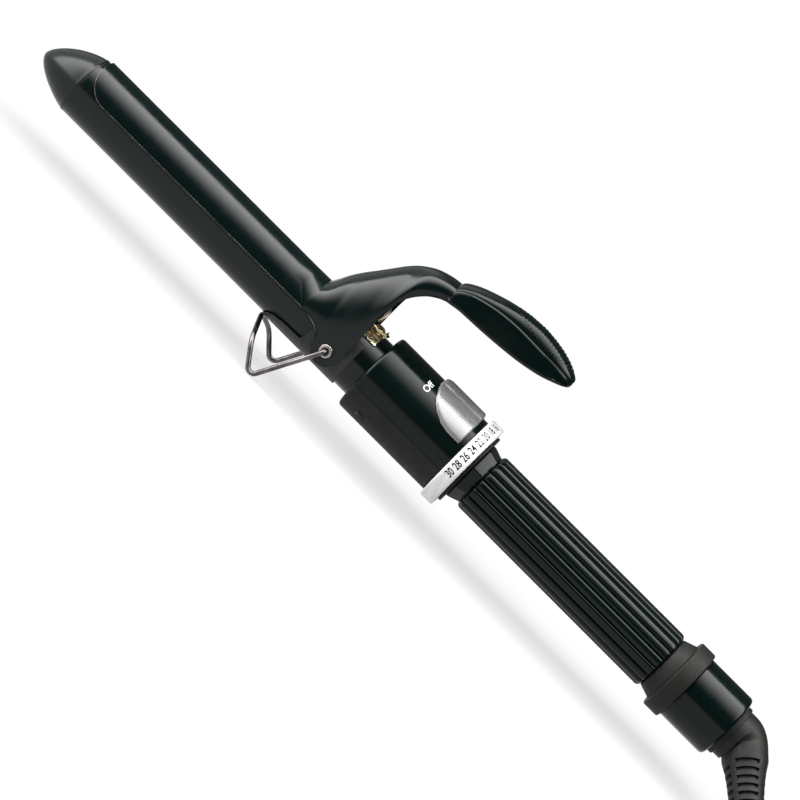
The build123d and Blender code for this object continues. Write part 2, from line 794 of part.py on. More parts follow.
def plug_body():
    body = block(
        PLUG_X, PLUG_X + PLUG_LENGTH, HANK_Y - PLUG_HALF_WIDTH, HANK_Y + PLUG_HALF_WIDTH,
        PLUG_Z - PLUG_HALF_HEIGHT, PLUG_Z + PLUG_HALF_HEIGHT,
    )
    body = chamfer(body.edges(), 1.5)
    start = Vector(PLUG_X + 0.5, HANK_Y, PLUG_Z)
    relief = cone_along(start, Vector(-1, 0, 0), [(0, 5.6), (PLUG_RELIEF, 4.0)])
    return body + relief


def plug_blades():
    blades = []
    for side in (-1, 1):
        y = HANK_Y + side * BLADE_HALF_SPAN
        start = PLUG_X + PLUG_LENGTH
        blades.append(block(start, start + BLADE_LENGTH, y - 0.75, y + 0.75, PLUG_Z - 3.2, PLUG_Z + 3.2))
    return blades


# ---- assembly -----------------------------------------------------------
def build():
    node("tip_cap", tip_cap())
    node("barrel_tube", barrel_tube())
    node("heater_shoe_upper", heater_shoe(1))
    node("heater_shoe_lower", heater_shoe(-1))
    node("heater_element", heater_element())
    node("heater_spacers", heater_spacer(HEATER_START - 3.0), heater_spacer(HEATER_END))
    node("heater_leads", *lead_wires())
    node("temperature_sensor", rod(HEATER_END + 3, HEATER_END + 10, 1.4, z=-6))
    node("thermal_fuse", rod(HEATER_END + 4, HEATER_END + 15, 2.0, z=5))
    node("stand_saddle", stand_saddle())
    node("pivot_eyelets", pivot_eyelet(-1), pivot_eyelet(1))
    node("stand_wire", stand_wire())
    node("clamp_spring", clamp_spring())
    node("spring_plate", spring_plate())
    node("spring_screw", spring_screw())
    node("clamp", clamp())
    node("thumb_rest", thumb_rest())
    node("thumb_pad", thumb_solid() & thumb_pad_space())
    node("barrel_bush", tube(HOUSING_FRONT + HOUSING_WALL, BARREL_END, HOUSING_BORE_R, BARREL_R))
    node("housing_cover", housing_cover())
    node("housing_shell", housing_shell())
    node("housing_screws", *screw_set())
    node("control_board", control_board())
    node("board_parts", *board_parts())
    node("slide_switch", slide_switch())
    node("power_slide", power_slide())
    node("dial_ring", dial_ring())
    node("dial_wiper", dial_wiper())
    node("dial_track", dial_track())
    node("handle_core", handle_core())
    node("dial_flange", dial_flange())
    node("faceted_collar", faceted_collar())
    node("grip_sleeve", grip_sleeve())
    node("rear_cone", rear_cone())
    node("rear_ring", rear_ring())
    node("swivel_bearing", swivel_bearing())
    node("swivel_hub", swivel_hub())
    node("slip_drum", slip_drum())
    node("slip_rings", *slip_rings())
    node("brush_contacts", *brush_contacts())
    node("swivel_shell", swivel_shell())
    node("swivel_end_cap", swivel_end_cap())
    node("cord_elbow", cord_elbow())
    node("cord_tube", cord_tube())
    node("cord_hank", cord_hank())
    node("hank_tie", hank_tie())
    node("plug_body", plug_body())
    node("plug_blades", *plug_blades())


def write():
    os.makedirs("parts", exist_ok=True)
    place = Pos(-MID, 0, AXIS_Z)
    for name, shapes in NODES.items():
        placed = [place * solid for shape in shapes for solid in shape.solids()]
        export_step(placed[0] if len(placed) == 1 else Compound(children=placed), f"parts/{name}.step")


build()
write()
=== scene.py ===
"""Looks of a hair curling iron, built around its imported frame.

Places along the tool are stations: millimetres from the tip of the nose, where
heights and widths are measured from the centre line of the barrel. at() turns
them into the frame's metres.
"""
import math

import bmesh
import bpy
from mathutils import Matrix, Quaternion, Vector


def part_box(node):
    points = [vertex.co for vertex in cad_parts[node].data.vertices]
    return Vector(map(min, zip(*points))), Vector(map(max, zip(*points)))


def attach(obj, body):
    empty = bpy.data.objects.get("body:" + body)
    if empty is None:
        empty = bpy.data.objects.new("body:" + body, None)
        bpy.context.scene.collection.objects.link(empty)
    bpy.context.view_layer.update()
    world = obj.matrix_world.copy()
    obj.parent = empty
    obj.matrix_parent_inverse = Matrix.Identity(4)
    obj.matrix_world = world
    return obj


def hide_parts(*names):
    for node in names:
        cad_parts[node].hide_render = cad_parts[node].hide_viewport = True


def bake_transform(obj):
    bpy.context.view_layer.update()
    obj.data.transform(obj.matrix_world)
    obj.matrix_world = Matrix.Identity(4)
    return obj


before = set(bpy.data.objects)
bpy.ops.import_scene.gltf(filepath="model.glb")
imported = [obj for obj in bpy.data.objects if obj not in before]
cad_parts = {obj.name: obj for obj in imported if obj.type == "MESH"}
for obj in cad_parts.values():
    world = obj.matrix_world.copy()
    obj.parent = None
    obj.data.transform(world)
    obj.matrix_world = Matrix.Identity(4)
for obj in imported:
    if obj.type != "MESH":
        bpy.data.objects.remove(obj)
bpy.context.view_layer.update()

MM = 0.001
TIP_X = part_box("tip_cap")[0].x
AXIS_Z = (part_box("barrel_tube")[0].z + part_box("barrel_tube")[1].z) / 2


def at(station, y=0.0, height=0.0):
    """The point of the frame at a station, with offsets in millimetres."""
    return Vector((TIP_X + station * MM, y * MM, AXIS_Z + height * MM))


def span(node):
    """First and last station of a CAD node."""
    low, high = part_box(node)
    return (low.x - TIP_X) / MM, (high.x - TIP_X) / MM


def radius_of(node):
    """Half the width of a CAD node, in millimetres."""
    low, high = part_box(node)
    return (high.y - low.y) / 2 / MM


# ---- sizes read from the frame -------------------------------------------
BARREL_R = radius_of("barrel_tube")
NOSE_END, BARREL_END = span("barrel_tube")
HOUSING_FRONT, HOUSING_REAR = span("housing_cover")
HOUSING_R = radius_of("housing_cover")
DIAL_FRONT, DIAL_REAR = span("dial_ring")
DIAL_R = radius_of("dial_ring")
FLANGE_REAR = span("dial_flange")[1]
FLANGE_R = radius_of("dial_flange")
CORE_R = radius_of("handle_core")
GRIP_FRONT, GRIP_REAR = span("grip_sleeve")
GRIP_R = radius_of("grip_sleeve")
CONE_REAR = span("rear_cone")[1]
RING_REAR = span("rear_ring")[1]
RING_R = radius_of("rear_ring")
SWIVEL_FRONT, SWIVEL_REAR = span("swivel_shell")
SWIVEL_R = radius_of("swivel_shell")
TOOL_END = span("swivel_end_cap")[1]
CAP_R = radius_of("swivel_end_cap")
SADDLE_FRONT, SADDLE_REAR = span("stand_saddle")
SADDLE_R = radius_of("stand_saddle")
PLATE_FRONT = span("clamp")[0]
SLIDE_FRONT, SLIDE_REAR = span("power_slide")
WIRE_R = 1.0
STAND_HALF_SPAN = radius_of("stand_wire") - WIRE_R
PIVOT = (span("pivot_eyelets")[0] + span("pivot_eyelets")[1]) / 2
PIVOT_Z = (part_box("pivot_eyelets")[0].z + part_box("pivot_eyelets")[1].z) / 2 / MM - AXIS_Z / MM


# ---- mesh helpers ---------------------------------------------------------
def loft(rings, ring_closed=True, path_closed=False, caps=True):
    """Points and faces of a skin over equal rings of points."""
    count = len(rings[0])
    points = [point for ring in rings for point in ring]
    faces = []
    pairs = len(rings) if path_closed else len(rings) - 1
    steps = count if ring_closed else count - 1
    for i in range(pairs):
        here, there = i * count, (i + 1) % len(rings) * count
        for j in range(steps):
            k = (j + 1) % count
            faces.append((here + j, here + k, there + k, there + j))
    if caps and ring_closed and not path_closed:
        faces.append(tuple(range(count)))
        faces.append(tuple(reversed(range(len(points) - count, len(points)))))
    return points, faces


def joined(*shapes):
    """Several (points, faces) shapes as one."""
    points, faces = [], []
    for more_points, more_faces in shapes:
        offset = len(points)
        points += more_points
        faces += [tuple(index + offset for index in face) for face in more_faces]
    return points, faces


def rounded(corners, radius, steps=4, closed=True):
    """A flat outline with its corners rounded; a corner may carry its own radius."""
    result = []
    count = len(corners)
    for i, corner in enumerate(corners):
        here = Vector(corner[:2])
        size = corner[2] if len(corner) > 2 else radius
        if size == 0 or (not closed and i in (0, count - 1)):
            result.append(tuple(here))
            continue
        before = Vector(corners[i - 1][:2]) - here
        after = Vector(corners[(i + 1) % count][:2]) - here
        half = before.angle(after) / 2
        cut = min(size / math.tan(half), before.length * 0.49, after.length * 0.49)
        start, end = here + before.normalized() * cut, here + after.normalized() * cut
        for step in range(steps + 1):
            t = step / steps
            result.append(tuple(start * (1 - t) ** 2 + here * 2 * t * (1 - t) + end * t ** 2))
    return result


def turned(profile, segments=112, first=0.0, last=360.0):
    """A closed (station, radius) outline turned about the barrel's centre line."""
    whole = last - first >= 360.0
    rings = []
    for i in range(segments if whole else segments + 1):
        angle = math.radians(first + (last - first) * i / segments)
        rings.append([at(s, r * math.cos(angle), r * math.sin(angle)) for s, r in profile])
    return loft(rings, path_closed=whole)


def sleeve(start, end, outer, inner, edge=0.2, **turn):
    """A tube about the centre line with softly rounded edges."""
    outline = [(start, inner), (start, outer), (end, outer), (end, inner)]
    return turned(rounded(outline, edge), **turn)


def curve_points(controls, count):
    """Evenly numbered points on a Catmull-Rom curve through the control values."""
    values = [Vector(control) for control in controls]
    result = []
    for i in range(count):
        place = i / (count - 1) * (len(values) - 1)
        k = min(int(place), len(values) - 2)
        t = place - k
        p1, p2 = values[k], values[k + 1]
        p0 = values[k - 1] if k > 0 else p1 * 2 - p2
        p3 = values[k + 2] if k + 2 < len(values) else p2 * 2 - p1
        result.append(
            ((p1 * 2) + (p2 - p0) * t + (p0 * 2 - p1 * 5 + p2 * 4 - p3) * t ** 2
             + (p1 * 3 - p0 - p2 * 3 + p3) * t ** 3) / 2
        )
    return result


def ramp(value, low, high):
    """0 at low, 1 at high, smooth between them."""
    t = min(max((value - low) / (high - low), 0.0), 1.0)
    return t * t * (3 - 2 * t)


def table_values(rows, place):
    """Values between two rows of a table; a row starts with its place."""
    for here, there in zip(rows, rows[1:]):
        if place <= there[0]:
            break
    t = min(max((place - here[0]) / (there[0] - here[0]), 0.0), 1.0)
    return [a + (b - a) * t for a, b in zip(here[1:], there[1:])]


def swept(path, radius, sides=24):
    """A round bar along points in metres, its radius in metres too."""
    rings = []
    side = None
    for i, here in enumerate(path):
        ahead = path[min(i + 1, len(path) - 1)] - path[max(i - 1, 0)]
        ahead.normalize()
        if side is None:
            side = ahead.orthogonal().normalized()
        side = (side - ahead * side.dot(ahead)).normalized()
        other = ahead.cross(side)
        rings.append([
            here + (side * math.cos(a) + other * math.sin(a)) * radius
            for a in (math.tau * j / sides for j in range(sides))
        ])
    return loft(rings)


def rounded_path(corners, radii, steps=8):
    """Points along straight runs joined by round corners, in metres; radii in millimetres."""
    points = [corners[0]]
    for before, here, after, radius in zip(corners, corners[1:], corners[2:], radii):
        back, on = before - here, after - here
        half = back.angle(on) / 2
        cut = min(radius * MM / math.tan(half), back.length * 0.49, on.length * 0.49)
        start, end = here + back.normalized() * cut, here + on.normalized() * cut
        centre_way = (back.normalized() + on.normalized()).normalized()
        centre = here + centre_way * cut / math.cos(half)
        from_centre = start - centre
        turn = from_centre.rotation_difference(end - centre)
        for step in range(steps + 1):
            part = Quaternion().slerp(turn, step / steps)
            points.append(centre + part @ from_centre)
    points.append(corners[-1])
    return points


def placed(name, data):
    """A new object in the scene."""
    thing = bpy.data.objects.new(name, data)
    bpy.context.scene.collection.objects.link(thing)
    return thing


def add_piece(name, shape, look, body, replaced=(), sharp=35.0, bevel=0.0, solid=0.0):
    """A mesh piece that rides on a body, smooth except at edges over the sharp angle."""
    points, faces = shape
    mesh = bpy.data.meshes.new(name)
    mesh.from_pydata([tuple(point) for point in points], [], faces)
    edit = bmesh.new()
    edit.from_mesh(mesh)
    bmesh.ops.remove_doubles(edit, verts=edit.verts, dist=0.002 * MM)
    bmesh.ops.recalc_face_normals(edit, faces=edit.faces)
    edit.to_mesh(mesh)
    edit.free()
    mesh.shade_smooth()
    mesh.set_sharp_from_angle(angle=math.radians(sharp))
    mesh.materials.append(LOOKS[look])
    piece = placed(name, mesh)
    if solid:
        wall = piece.modifiers.new("wall", "SOLIDIFY")
        wall.thickness = solid * MM
        wall.offset = -1.0
        wall.use_even_offset = True
    if bevel:
        soft = piece.modifiers.new("soft_edges", "BEVEL")
        soft.width = bevel * MM
        soft.segments = 3
        soft.limit_method = "ANGLE"
        soft.angle_limit = math.radians(40)
        soft.harden_normals = True
    if body:
        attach(piece, body)
    if replaced:
        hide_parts(*replaced)
    return piece


# ---- materials ------------------------------------------------------------
def new_look(name, colour, roughness, metallic=0.0, specular=0.5, anisotropic=0.0):
    """A material whose shader holds every value that is the same all over."""
    look = bpy.data.materials.new(name)
    look.use_nodes = True
    shader = look.node_tree.nodes["Principled BSDF"]
    shader.inputs["Base Color"].default_value = (*colour, 1.0)
    shader.inputs["Roughness"].default_value = roughness
    shader.inputs["Metallic"].default_value = metallic
    shader.inputs["Coat Weight"].default_value = 0.0
    shader.inputs["Coat Roughness"].default_value = 0.12
    shader.inputs["Specular IOR Level"].default_value = specular
    shader.inputs["Anisotropic"].default_value = anisotropic
    return look


def noise(look, scale, detail=3.0, stretch=(1.0, 1.0, 1.0)):
    """Noise over the piece; scale is in cells a metre, stretch multiplies it by axis."""
    nodes, links = look.node_tree.nodes, look.node_tree.links
    place = nodes.new("ShaderNodeTexCoord")
    grow = nodes.new("ShaderNodeMapping")
    grow.inputs["Scale"].default_value = stretch
    texture = nodes.new("ShaderNodeTexNoise")
    texture.inputs["Scale"].default_value = scale
    texture.inputs["Detail"].default_value = detail
    links.new(place.outputs["Object"], grow.inputs["Vector"])
    links.new(grow.outputs["Vector"], texture.inputs["Vector"])
    return texture.outputs["Fac"]


def vary_colour(look, dark, light, fac):
    """Base colour that runs from dark to light with a pattern."""
    nodes, links = look.node_tree.nodes, look.node_tree.links
    colours = nodes.new("ShaderNodeValToRGB")
    colours.color_ramp.elements[0].position = 0.35
    colours.color_ramp.elements[0].color = (*dark, 1.0)
    colours.color_ramp.elements[1].position = 0.65
    colours.color_ramp.elements[1].color = (*light, 1.0)
    links.new(fac, colours.inputs["Fac"])
    links.new(colours.outputs["Color"], nodes["Principled BSDF"].inputs["Base Color"])


def vary_roughness(look, low, high, fac):
    nodes, links = look.node_tree.nodes, look.node_tree.links
    spread = nodes.new("ShaderNodeMapRange")
    spread.inputs["From Min"].default_value = 0.3
    spread.inputs["From Max"].default_value = 0.7
    spread.inputs["To Min"].default_value = low
    spread.inputs["To Max"].default_value = high
    links.new(fac, spread.inputs["Value"])
    links.new(spread.outputs["Result"], nodes["Principled BSDF"].inputs["Roughness"])


def add_bump(look, height_mm, fac):
    nodes, links = look.node_tree.nodes, look.node_tree.links
    bump = nodes.new("ShaderNodeBump")
    bump.inputs["Strength"].default_value = 1.0
    bump.inputs["Distance"].default_value = height_mm * MM
    links.new(fac, bump.inputs["Height"])
    links.new(bump.outputs["Normal"], nodes["Principled BSDF"].inputs["Normal"])


def finish(name, base, roughness, dark, light, spread, scales, relief, details=(3, 3, 2), **values):
    """A look whose colour, roughness and height each follow a noise of their own."""
    stretch = values.pop("stretch", (1.0, 1.0, 1.0))
    look = new_look(name, base, roughness, **values)
    vary_colour(look, dark, light, noise(look, scales[0], details[0], stretch))
    vary_roughness(look, *spread, noise(look, scales[1], details[1], stretch))
    add_bump(look, relief, noise(look, scales[2], details[2], stretch))
    return look


def satin_silver(name, grey, stretch, metallic, roughness=0.38):
    """Silver paint, brushed along one way."""
    return finish(
        name, (grey, grey, grey), roughness, (grey * 0.9, grey * 0.91, grey * 0.92),
        (grey * 1.08, grey * 1.08, grey * 1.08), (roughness - 0.06, roughness + 0.08),
        (900.0, 1200.0, 2600.0), 0.004, stretch=stretch, metallic=metallic, specular=0.3, anisotropic=0.3,
    )


def plain(name, dark, light, roughness, metallic=0.0, specular=0.3):
    """A simple finish for a piece that is mostly hidden."""
    return finish(
        name, light, roughness, dark, light, (roughness * 0.85, min(roughness * 1.2, 1.0)),
        (500.0, 850.0, 2000.0), 0.01, (4, 3, 2), metallic=metallic, specular=specular,
    )


LOOKS = {
    # Black ceramic enamel: an even gloss with a faint orange peel and a green cast.
    "enamel": finish(
        "gloss_black", (0.0005, 0.0034, 0.0032), 0.2, (0.0004, 0.0031, 0.0029), (0.0007, 0.0038, 0.0035),
        (0.17, 0.24), (90.0, 260.0, 900.0), 0.003, (3, 5, 2), specular=0.28,
    ),
    # Polished black moulding.
    "gloss": finish(
        "gloss_plastic", (0.0006, 0.0034, 0.003), 0.17, (0.0005, 0.0031, 0.0027), (0.0009, 0.0038, 0.0033),
        (0.14, 0.2), (120.0, 400.0, 1400.0), 0.002, (3, 4, 2), specular=0.2,
    ),
    # Heat-proof moulding with a soft sheen.
    "satin": finish(
        "satin_plastic", (0.002, 0.0048, 0.0044), 0.25, (0.0016, 0.0042, 0.0038), (0.0026, 0.0056, 0.005),
        (0.23, 0.28), (160.0, 200.0, 1200.0), 0.0015, specular=0.26,
    ),
    # Fine spark-eroded texture on a warm black moulding.
    "matte": finish(
        "matte_plastic", (0.0058, 0.0068, 0.0052), 0.58, (0.0045, 0.0055, 0.0041), (0.007, 0.008, 0.0062),
        (0.5, 0.66), (700.0, 300.0, 4200.0), 0.02, (4, 3, 2), specular=0.2,
    ),
    "rubber": finish(
        "rubber", (0.006, 0.0064, 0.0054), 0.5, (0.0045, 0.005, 0.0042), (0.0074, 0.0077, 0.0065),
        (0.42, 0.58), (500.0, 350.0, 3000.0), 0.012, (4, 4, 3), specular=0.2,
    ),
    # Drawn steel, blued a little by heat.
    "wire": finish(
        "steel_wire", (0.16, 0.145, 0.15), 0.3, (0.075, 0.066, 0.07), (0.175, 0.16, 0.163),
        (0.22, 0.4), (260.0, 900.0, 2500.0), 0.006, (4, 3, 2), metallic=1.0,
    ),
    "brass": finish(
        "bright_brass", (0.78, 0.66, 0.42), 0.24, (0.5, 0.4, 0.22), (0.86, 0.78, 0.58),
        (0.15, 0.34), (420.0, 900.0, 2600.0), 0.006, (4, 3, 2), metallic=1.0,
    ),
    "slide": satin_silver("satin_slide", 0.2, (0.12, 1.0, 1.0), 0.5, 0.26),
    "dial": satin_silver("satin_dial", 0.6, (1.0, 0.2, 0.2), 0.1),
    "strap": plain("steel_strap", (0.008, 0.009, 0.009), (0.016, 0.017, 0.017), 0.42),
    "rivet": plain("rivet_steel", (0.26, 0.24, 0.24), (0.46, 0.43, 0.42), 0.28, metallic=1.0),
    "aluminium": plain("aluminium", (0.5, 0.51, 0.52), (0.68, 0.69, 0.7), 0.42, metallic=1.0),
    "ceramic": plain("ceramic", (0.72, 0.7, 0.64), (0.86, 0.84, 0.79), 0.62),
    "board": plain("board_green", (0.012, 0.075, 0.03), (0.02, 0.13, 0.055), 0.4),
    "component": plain("component_black", (0.012, 0.012, 0.013), (0.03, 0.03, 0.032), 0.45),
    "lead": plain("lead_sleeve", (0.55, 0.5, 0.4), (0.74, 0.7, 0.6), 0.7),
    "nylon": plain("nylon", (0.5, 0.49, 0.45), (0.66, 0.65, 0.6), 0.5),
    "copper": plain("copper", (0.5, 0.2, 0.1), (0.78, 0.38, 0.22), 0.3, metallic=1.0),
    "tie": plain("tie_band", (0.006, 0.006, 0.007), (0.014, 0.014, 0.015), 0.55),
    "white_ink": plain("white_ink", (0.78, 0.78, 0.76), (0.9, 0.9, 0.88), 0.5),
    "black_ink": plain("black_ink", (0.001, 0.001, 0.001), (0.002, 0.002, 0.002), 0.7, specular=0.1),
}

CAD_LOOKS = {
    "heater_shoe_upper": "aluminium", "heater_shoe_lower": "aluminium", "heater_element": "ceramic",
    "heater_spacers": "ceramic", "heater_leads": "lead", "temperature_sensor": "component",
    "thermal_fuse": "nylon", "barrel_bush": "nylon", "housing_screws": "strap",
    "control_board": "board", "board_parts": "component", "slide_switch": "component",
    "dial_wiper": "copper", "dial_track": "component", "handle_core": "matte",
    "swivel_bearing": "nylon", "swivel_hub": "matte", "slip_drum": "nylon",
    "slip_rings": "copper", "brush_contacts": "brass",
}
for node_name, look_name in CAD_LOOKS.items():
    node_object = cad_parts[node_name]
    node_object.data.materials.clear()
    node_object.data.materials.append(LOOKS[look_name])


# ---- cord -----------------------------------------------------------------
CORD_R = 3.0
ROUTE = [
    (0.21423, -0.02973, 0.00963), (0.22023, -0.03633, 0.00513), (0.22723, -0.04233, 0.003),
    (0.23783, -0.04743, 0.003), (0.25183, -0.05083, 0.003), (0.26763, -0.05223, 0.003),
    (0.28363, -0.05243, 0.003), (0.2994, -0.0521, 0.003),
]
HANK_LEVELS = 4
LANE_PITCH = 6.3
LEVEL_PITCH = 6.1
FOLD_R = 18.6
WAIST_LANE = 7.5
FOLD_STEPS = 12
RUN_STEPS = 12


HANK_LOW, HANK_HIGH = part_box("cord_hank")
HANK_MIDDLE = (HANK_LOW + HANK_HIGH) / 2
HANK_REACH = (HANK_HIGH.x - HANK_LOW.x) / 2 / MM - (HANK_HIGH.y - HANK_LOW.y) / 2 / MM


def hank_points():
    """The folded length: two lanes on each of four levels, drawn in at the tie."""
    middle, reach = HANK_MIDDLE, HANK_REACH
    first_level = CORD_R + (HANK_LOW.z / MM)
    points = []

    def add(along, across, level):
        height = first_level + level * LEVEL_PITCH
        points.append(Vector((middle.x + along * MM, middle.y + across * MM, height * MM)))

    def run(direction, lane, level, side):
        """One strand from fold to fold, drawn in where the tie holds it."""
        wide = FOLD_R + lane * LANE_PITCH
        narrow = WAIST_LANE + lane * LANE_PITCH
        for step in range(1, RUN_STEPS):
            place = -1 + 2 * step / RUN_STEPS
            pull = 1 - ramp(abs(place), 0.05, 1.0)
            add(direction * place * reach, side * (wide + (narrow - wide) * pull), level)

    def fold(direction, lane, start_level, end_level, side, next_lane=None):
        """Half a turn round an end, from one side of the hank to the other."""
        next_lane = lane if next_lane is None else next_lane
        for step in range(FOLD_STEPS + 1):
            t = step / FOLD_STEPS
            wide = FOLD_R + (lane + (next_lane - lane) * t) * LANE_PITCH
            angle = math.pi * t
            level = start_level + (end_level - start_level) * ramp(t, 0.15, 0.85)
            add(direction * (reach + math.sin(angle) * wide), side * math.cos(angle) * wide, level)

    for level in range(HANK_LEVELS):
        lanes = (1, 0) if level % 2 == 0 else (0, 1)
        for turn, lane in enumerate(lanes):
            run(1, lane, level, -1)
            fold(1, lane, level, level, -1)
            run(-1, lane, level, 1)
            if level == HANK_LEVELS - 1 and turn == 1:
                break
            next_lane = lanes[1] if turn == 0 else lane
            next_level = level if turn == 0 else level + 1
            fold(-1, lane, level, next_level, 1, next_lane)
    return points


LEAD_STEPS = 12
# Places of the last strand from the plug's tail, in millimetres: back, across and below.
LEAD_IN = [
    (31.3, -23.9, 5.0), (24.9, -20.2, 5.0), (20.8, -15.5, 4.6), (17.7, -9.4, 3.9), (13.6, -4.7, 2.9),
    (7.2, -1.0, 1.2), (1.5, 0.0, 0.1), (-3.0, 0.0, 0.0),
]


def lead_to_plug():
    """The last strand: up over the front fold and along the top of the hank."""
    middle, reach = HANK_MIDDLE, HANK_REACH
    wide = FOLD_R + LANE_PITCH
    plug_low, plug_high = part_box("plug_body")
    tail = plug_low.x
    height = (plug_low.z + plug_high.z) / 2
    top = HANK_HIGH.z + CORD_R * MM
    start = CORD_R * MM + HANK_LOW.z + (HANK_LEVELS - 1) * LEVEL_PITCH * MM
    points = []
    for step in range(LEAD_STEPS + 1):
        t = step / LEAD_STEPS
        rise = start + (top - start) * ramp(t, -0.1, 0.45)
        points.append(Vector((
            middle.x - (reach + math.sin(math.pi * t) * wide) * MM,
            middle.y + math.cos(math.pi * t) * wide * MM, rise,
        )))
    for back, across, below in LEAD_IN:
        points.append(Vector((tail - back * MM, middle.y + across * MM, height - below * MM)))
    return points


def cord():
    curve = bpy.data.curves.new("power_cord", "CURVE")
    curve.dimensions = "3D"
    curve.bevel_depth = CORD_R * MM
    curve.bevel_resolution = 5
    curve.resolution_u = 8
    curve.use_fill_caps = True
    points = [Vector(point) for point in ROUTE[:-1]] + hank_points() + lead_to_plug()
    line = curve.splines.new("NURBS")
    line.points.add(len(points) - 1)
    for place, point in zip(line.points, points):
        place.co = (*point, 1.0)
    line.order_u = 3
    line.use_endpoint_u = True
    curve.materials.append(LOOKS["rubber"])
    return placed("power_cord", curve)


# ---- barrel ---------------------------------------------------------------
NOSE_DROP = 1.8             # how far the tip sits below the centre line
NOSE_STEPS = 26
NOSE_LIP = 0.12             # how far the cap's rear edge stands proud of the barrel
SKIRT_LENGTH = 8
SKIRT_GAP = 0.85


def nose_cap():
    """Rounded heat-proof tip, a little low of centre, with a skirt inside the barrel."""
    rings = []
    for i in range(NOSE_STEPS + 1):
        t = 1 - math.cos(math.pi * (0.04 + 0.46 * i / NOSE_STEPS))
        size = BARREL_R * (1 - (1 - t) ** 1.35) ** 0.62
        low = -NOSE_DROP * (1 - t) ** 2
        rings.append(circle(t * (NOSE_END - 0.25), size, low))
    edge, skirt = BARREL_R + NOSE_LIP, BARREL_R - SKIRT_GAP
    rings[-1] = circle(NOSE_END - 0.75, edge, 0)
    rings += [circle(NOSE_END - 0.3, edge, 0), circle(NOSE_END - 0.08, edge - 0.25, 0)]
    rings += [circle(NOSE_END - 0.05, skirt, 0), circle(NOSE_END + SKIRT_LENGTH, skirt, 0)]
    rings += [circle(NOSE_END + SKIRT_LENGTH, BARREL_R - 3.2, 0), circle(NOSE_END - 6, BARREL_R - 5.5, 0)]
    return loft(rings)


def circle(station, radius, height=0.0, count=96):
    return [
        at(station, radius * math.sin(a), height + radius * math.cos(a))
        for a in (math.tau * i / count for i in range(count))
    ]


add_piece("nose_cap", nose_cap(), "satin", "root", ["tip_cap"])
BARREL_WALL = 0.8
add_piece(
    "barrel", sleeve(NOSE_END, BARREL_END, BARREL_R, BARREL_R - BARREL_WALL, segments=144),
    "enamel", "root", ["barrel_tube"],
)

add_piece(
    "barrel_cut_end",
    sleeve(NOSE_END - 0.09, NOSE_END + 0.02, BARREL_R + 0.02, BARREL_R - 0.75, 0.02, segments=144),
    "wire", "root",
)


# ---- clamp ----------------------------------------------------------------
CLAMP_WALL = 0.8
PLATE_R = BARREL_R + 0.95
PLATE_CORNER = 32.0         # the rounded front meets the straight side edge here
PLATE_EDGE_Z = 2.3
KINK = 137.1
PLATE_ROWS = 34             # round the front
STRAIGHT_ROWS = 20
FRONT_CROWDING = 2.2        # draws the rows together at the front
ARM_ROWS = 62
ACROSS = 56
ROUND_SHARE = 0.62          # share of the points that go to the rounded top

# Top line of the arm, its lower line, half width at the top, half width at the
# bottom, depth of the rounding and its fullness (2 is a circle).
ARM = [
    ((137.1, 13.65), (137.1, 2.3), 13.65, 13.45, 13.2, 2.0),
    ((138.5, 16.0), (140.4, 1.9), 13.8, 14.0, 14.1, 2.0),
    ((141.0, 20.7), (144.6, 0.8), 14.0, 14.35, 20.2, 2.0),
    ((143.8, 24.9), (147.9, -1.2), 14.2, 14.45, 26.0, 2.0),
    ((146.4, 28.4), (149.1, -4.2), 14.3, 14.45, 30.0, 2.0),
    ((148.8, 31.6), (151.2, -7.6), 14.35, 14.45, 33.0, 2.0),
    ((151.0, 34.6), (155.0, -9.0), 14.35, 14.45, 34.0, 2.0),
    ((153.2, 37.6), (158.9, -7.5), 14.2, 14.45, 34.0, 2.0),
    ((155.4, 40.2), (160.9, -3.6), 13.8, 14.45, 31.0, 2.0),
    ((157.5, 42.2), (161.0, 6.0), 13.2, 14.2, 26.0, 2.0),
    ((159.7, 43.8), (161.0, 16.0), 12.4, 13.2, 20.5, 2.1),
    ((161.9, 45.1), (161.3, 25.4), 11.4, 11.9, 15.5, 2.25),
    ((164.3, 46.1), (162.7, 31.6), 10.4, 10.6, 12.4, 2.45),
    ((167.5, 47.0), (166.7, 37.0), 9.3, 9.4, 9.2, 2.7),
    ((170.6, 47.6), (170.6, 39.9), 8.6, 8.7, 6.8, 2.8),
    ((174.6, 48.0), (174.6, 41.6), 8.1, 8.1, 5.6, 2.8),
]


def plate_ring(station):
    """Edge-to-edge points of the curved plate that lies on the barrel."""
    back = (PLATE_CORNER - station) / (PLATE_CORNER - PLATE_FRONT)
    rise = 1 - math.sqrt(max(1 - max(back, 0.0) ** 2, 0.0))
    edge = PLATE_EDGE_Z + (PLATE_R - PLATE_EDGE_Z) * rise
    reach = math.acos(min(edge / PLATE_R, 1.0))
    angles = [reach * (1 - 2 * j / ACROSS) for j in range(ACROSS + 1)]
    return [at(station, PLATE_R * math.sin(a), PLATE_R * math.cos(a)) for a in angles]


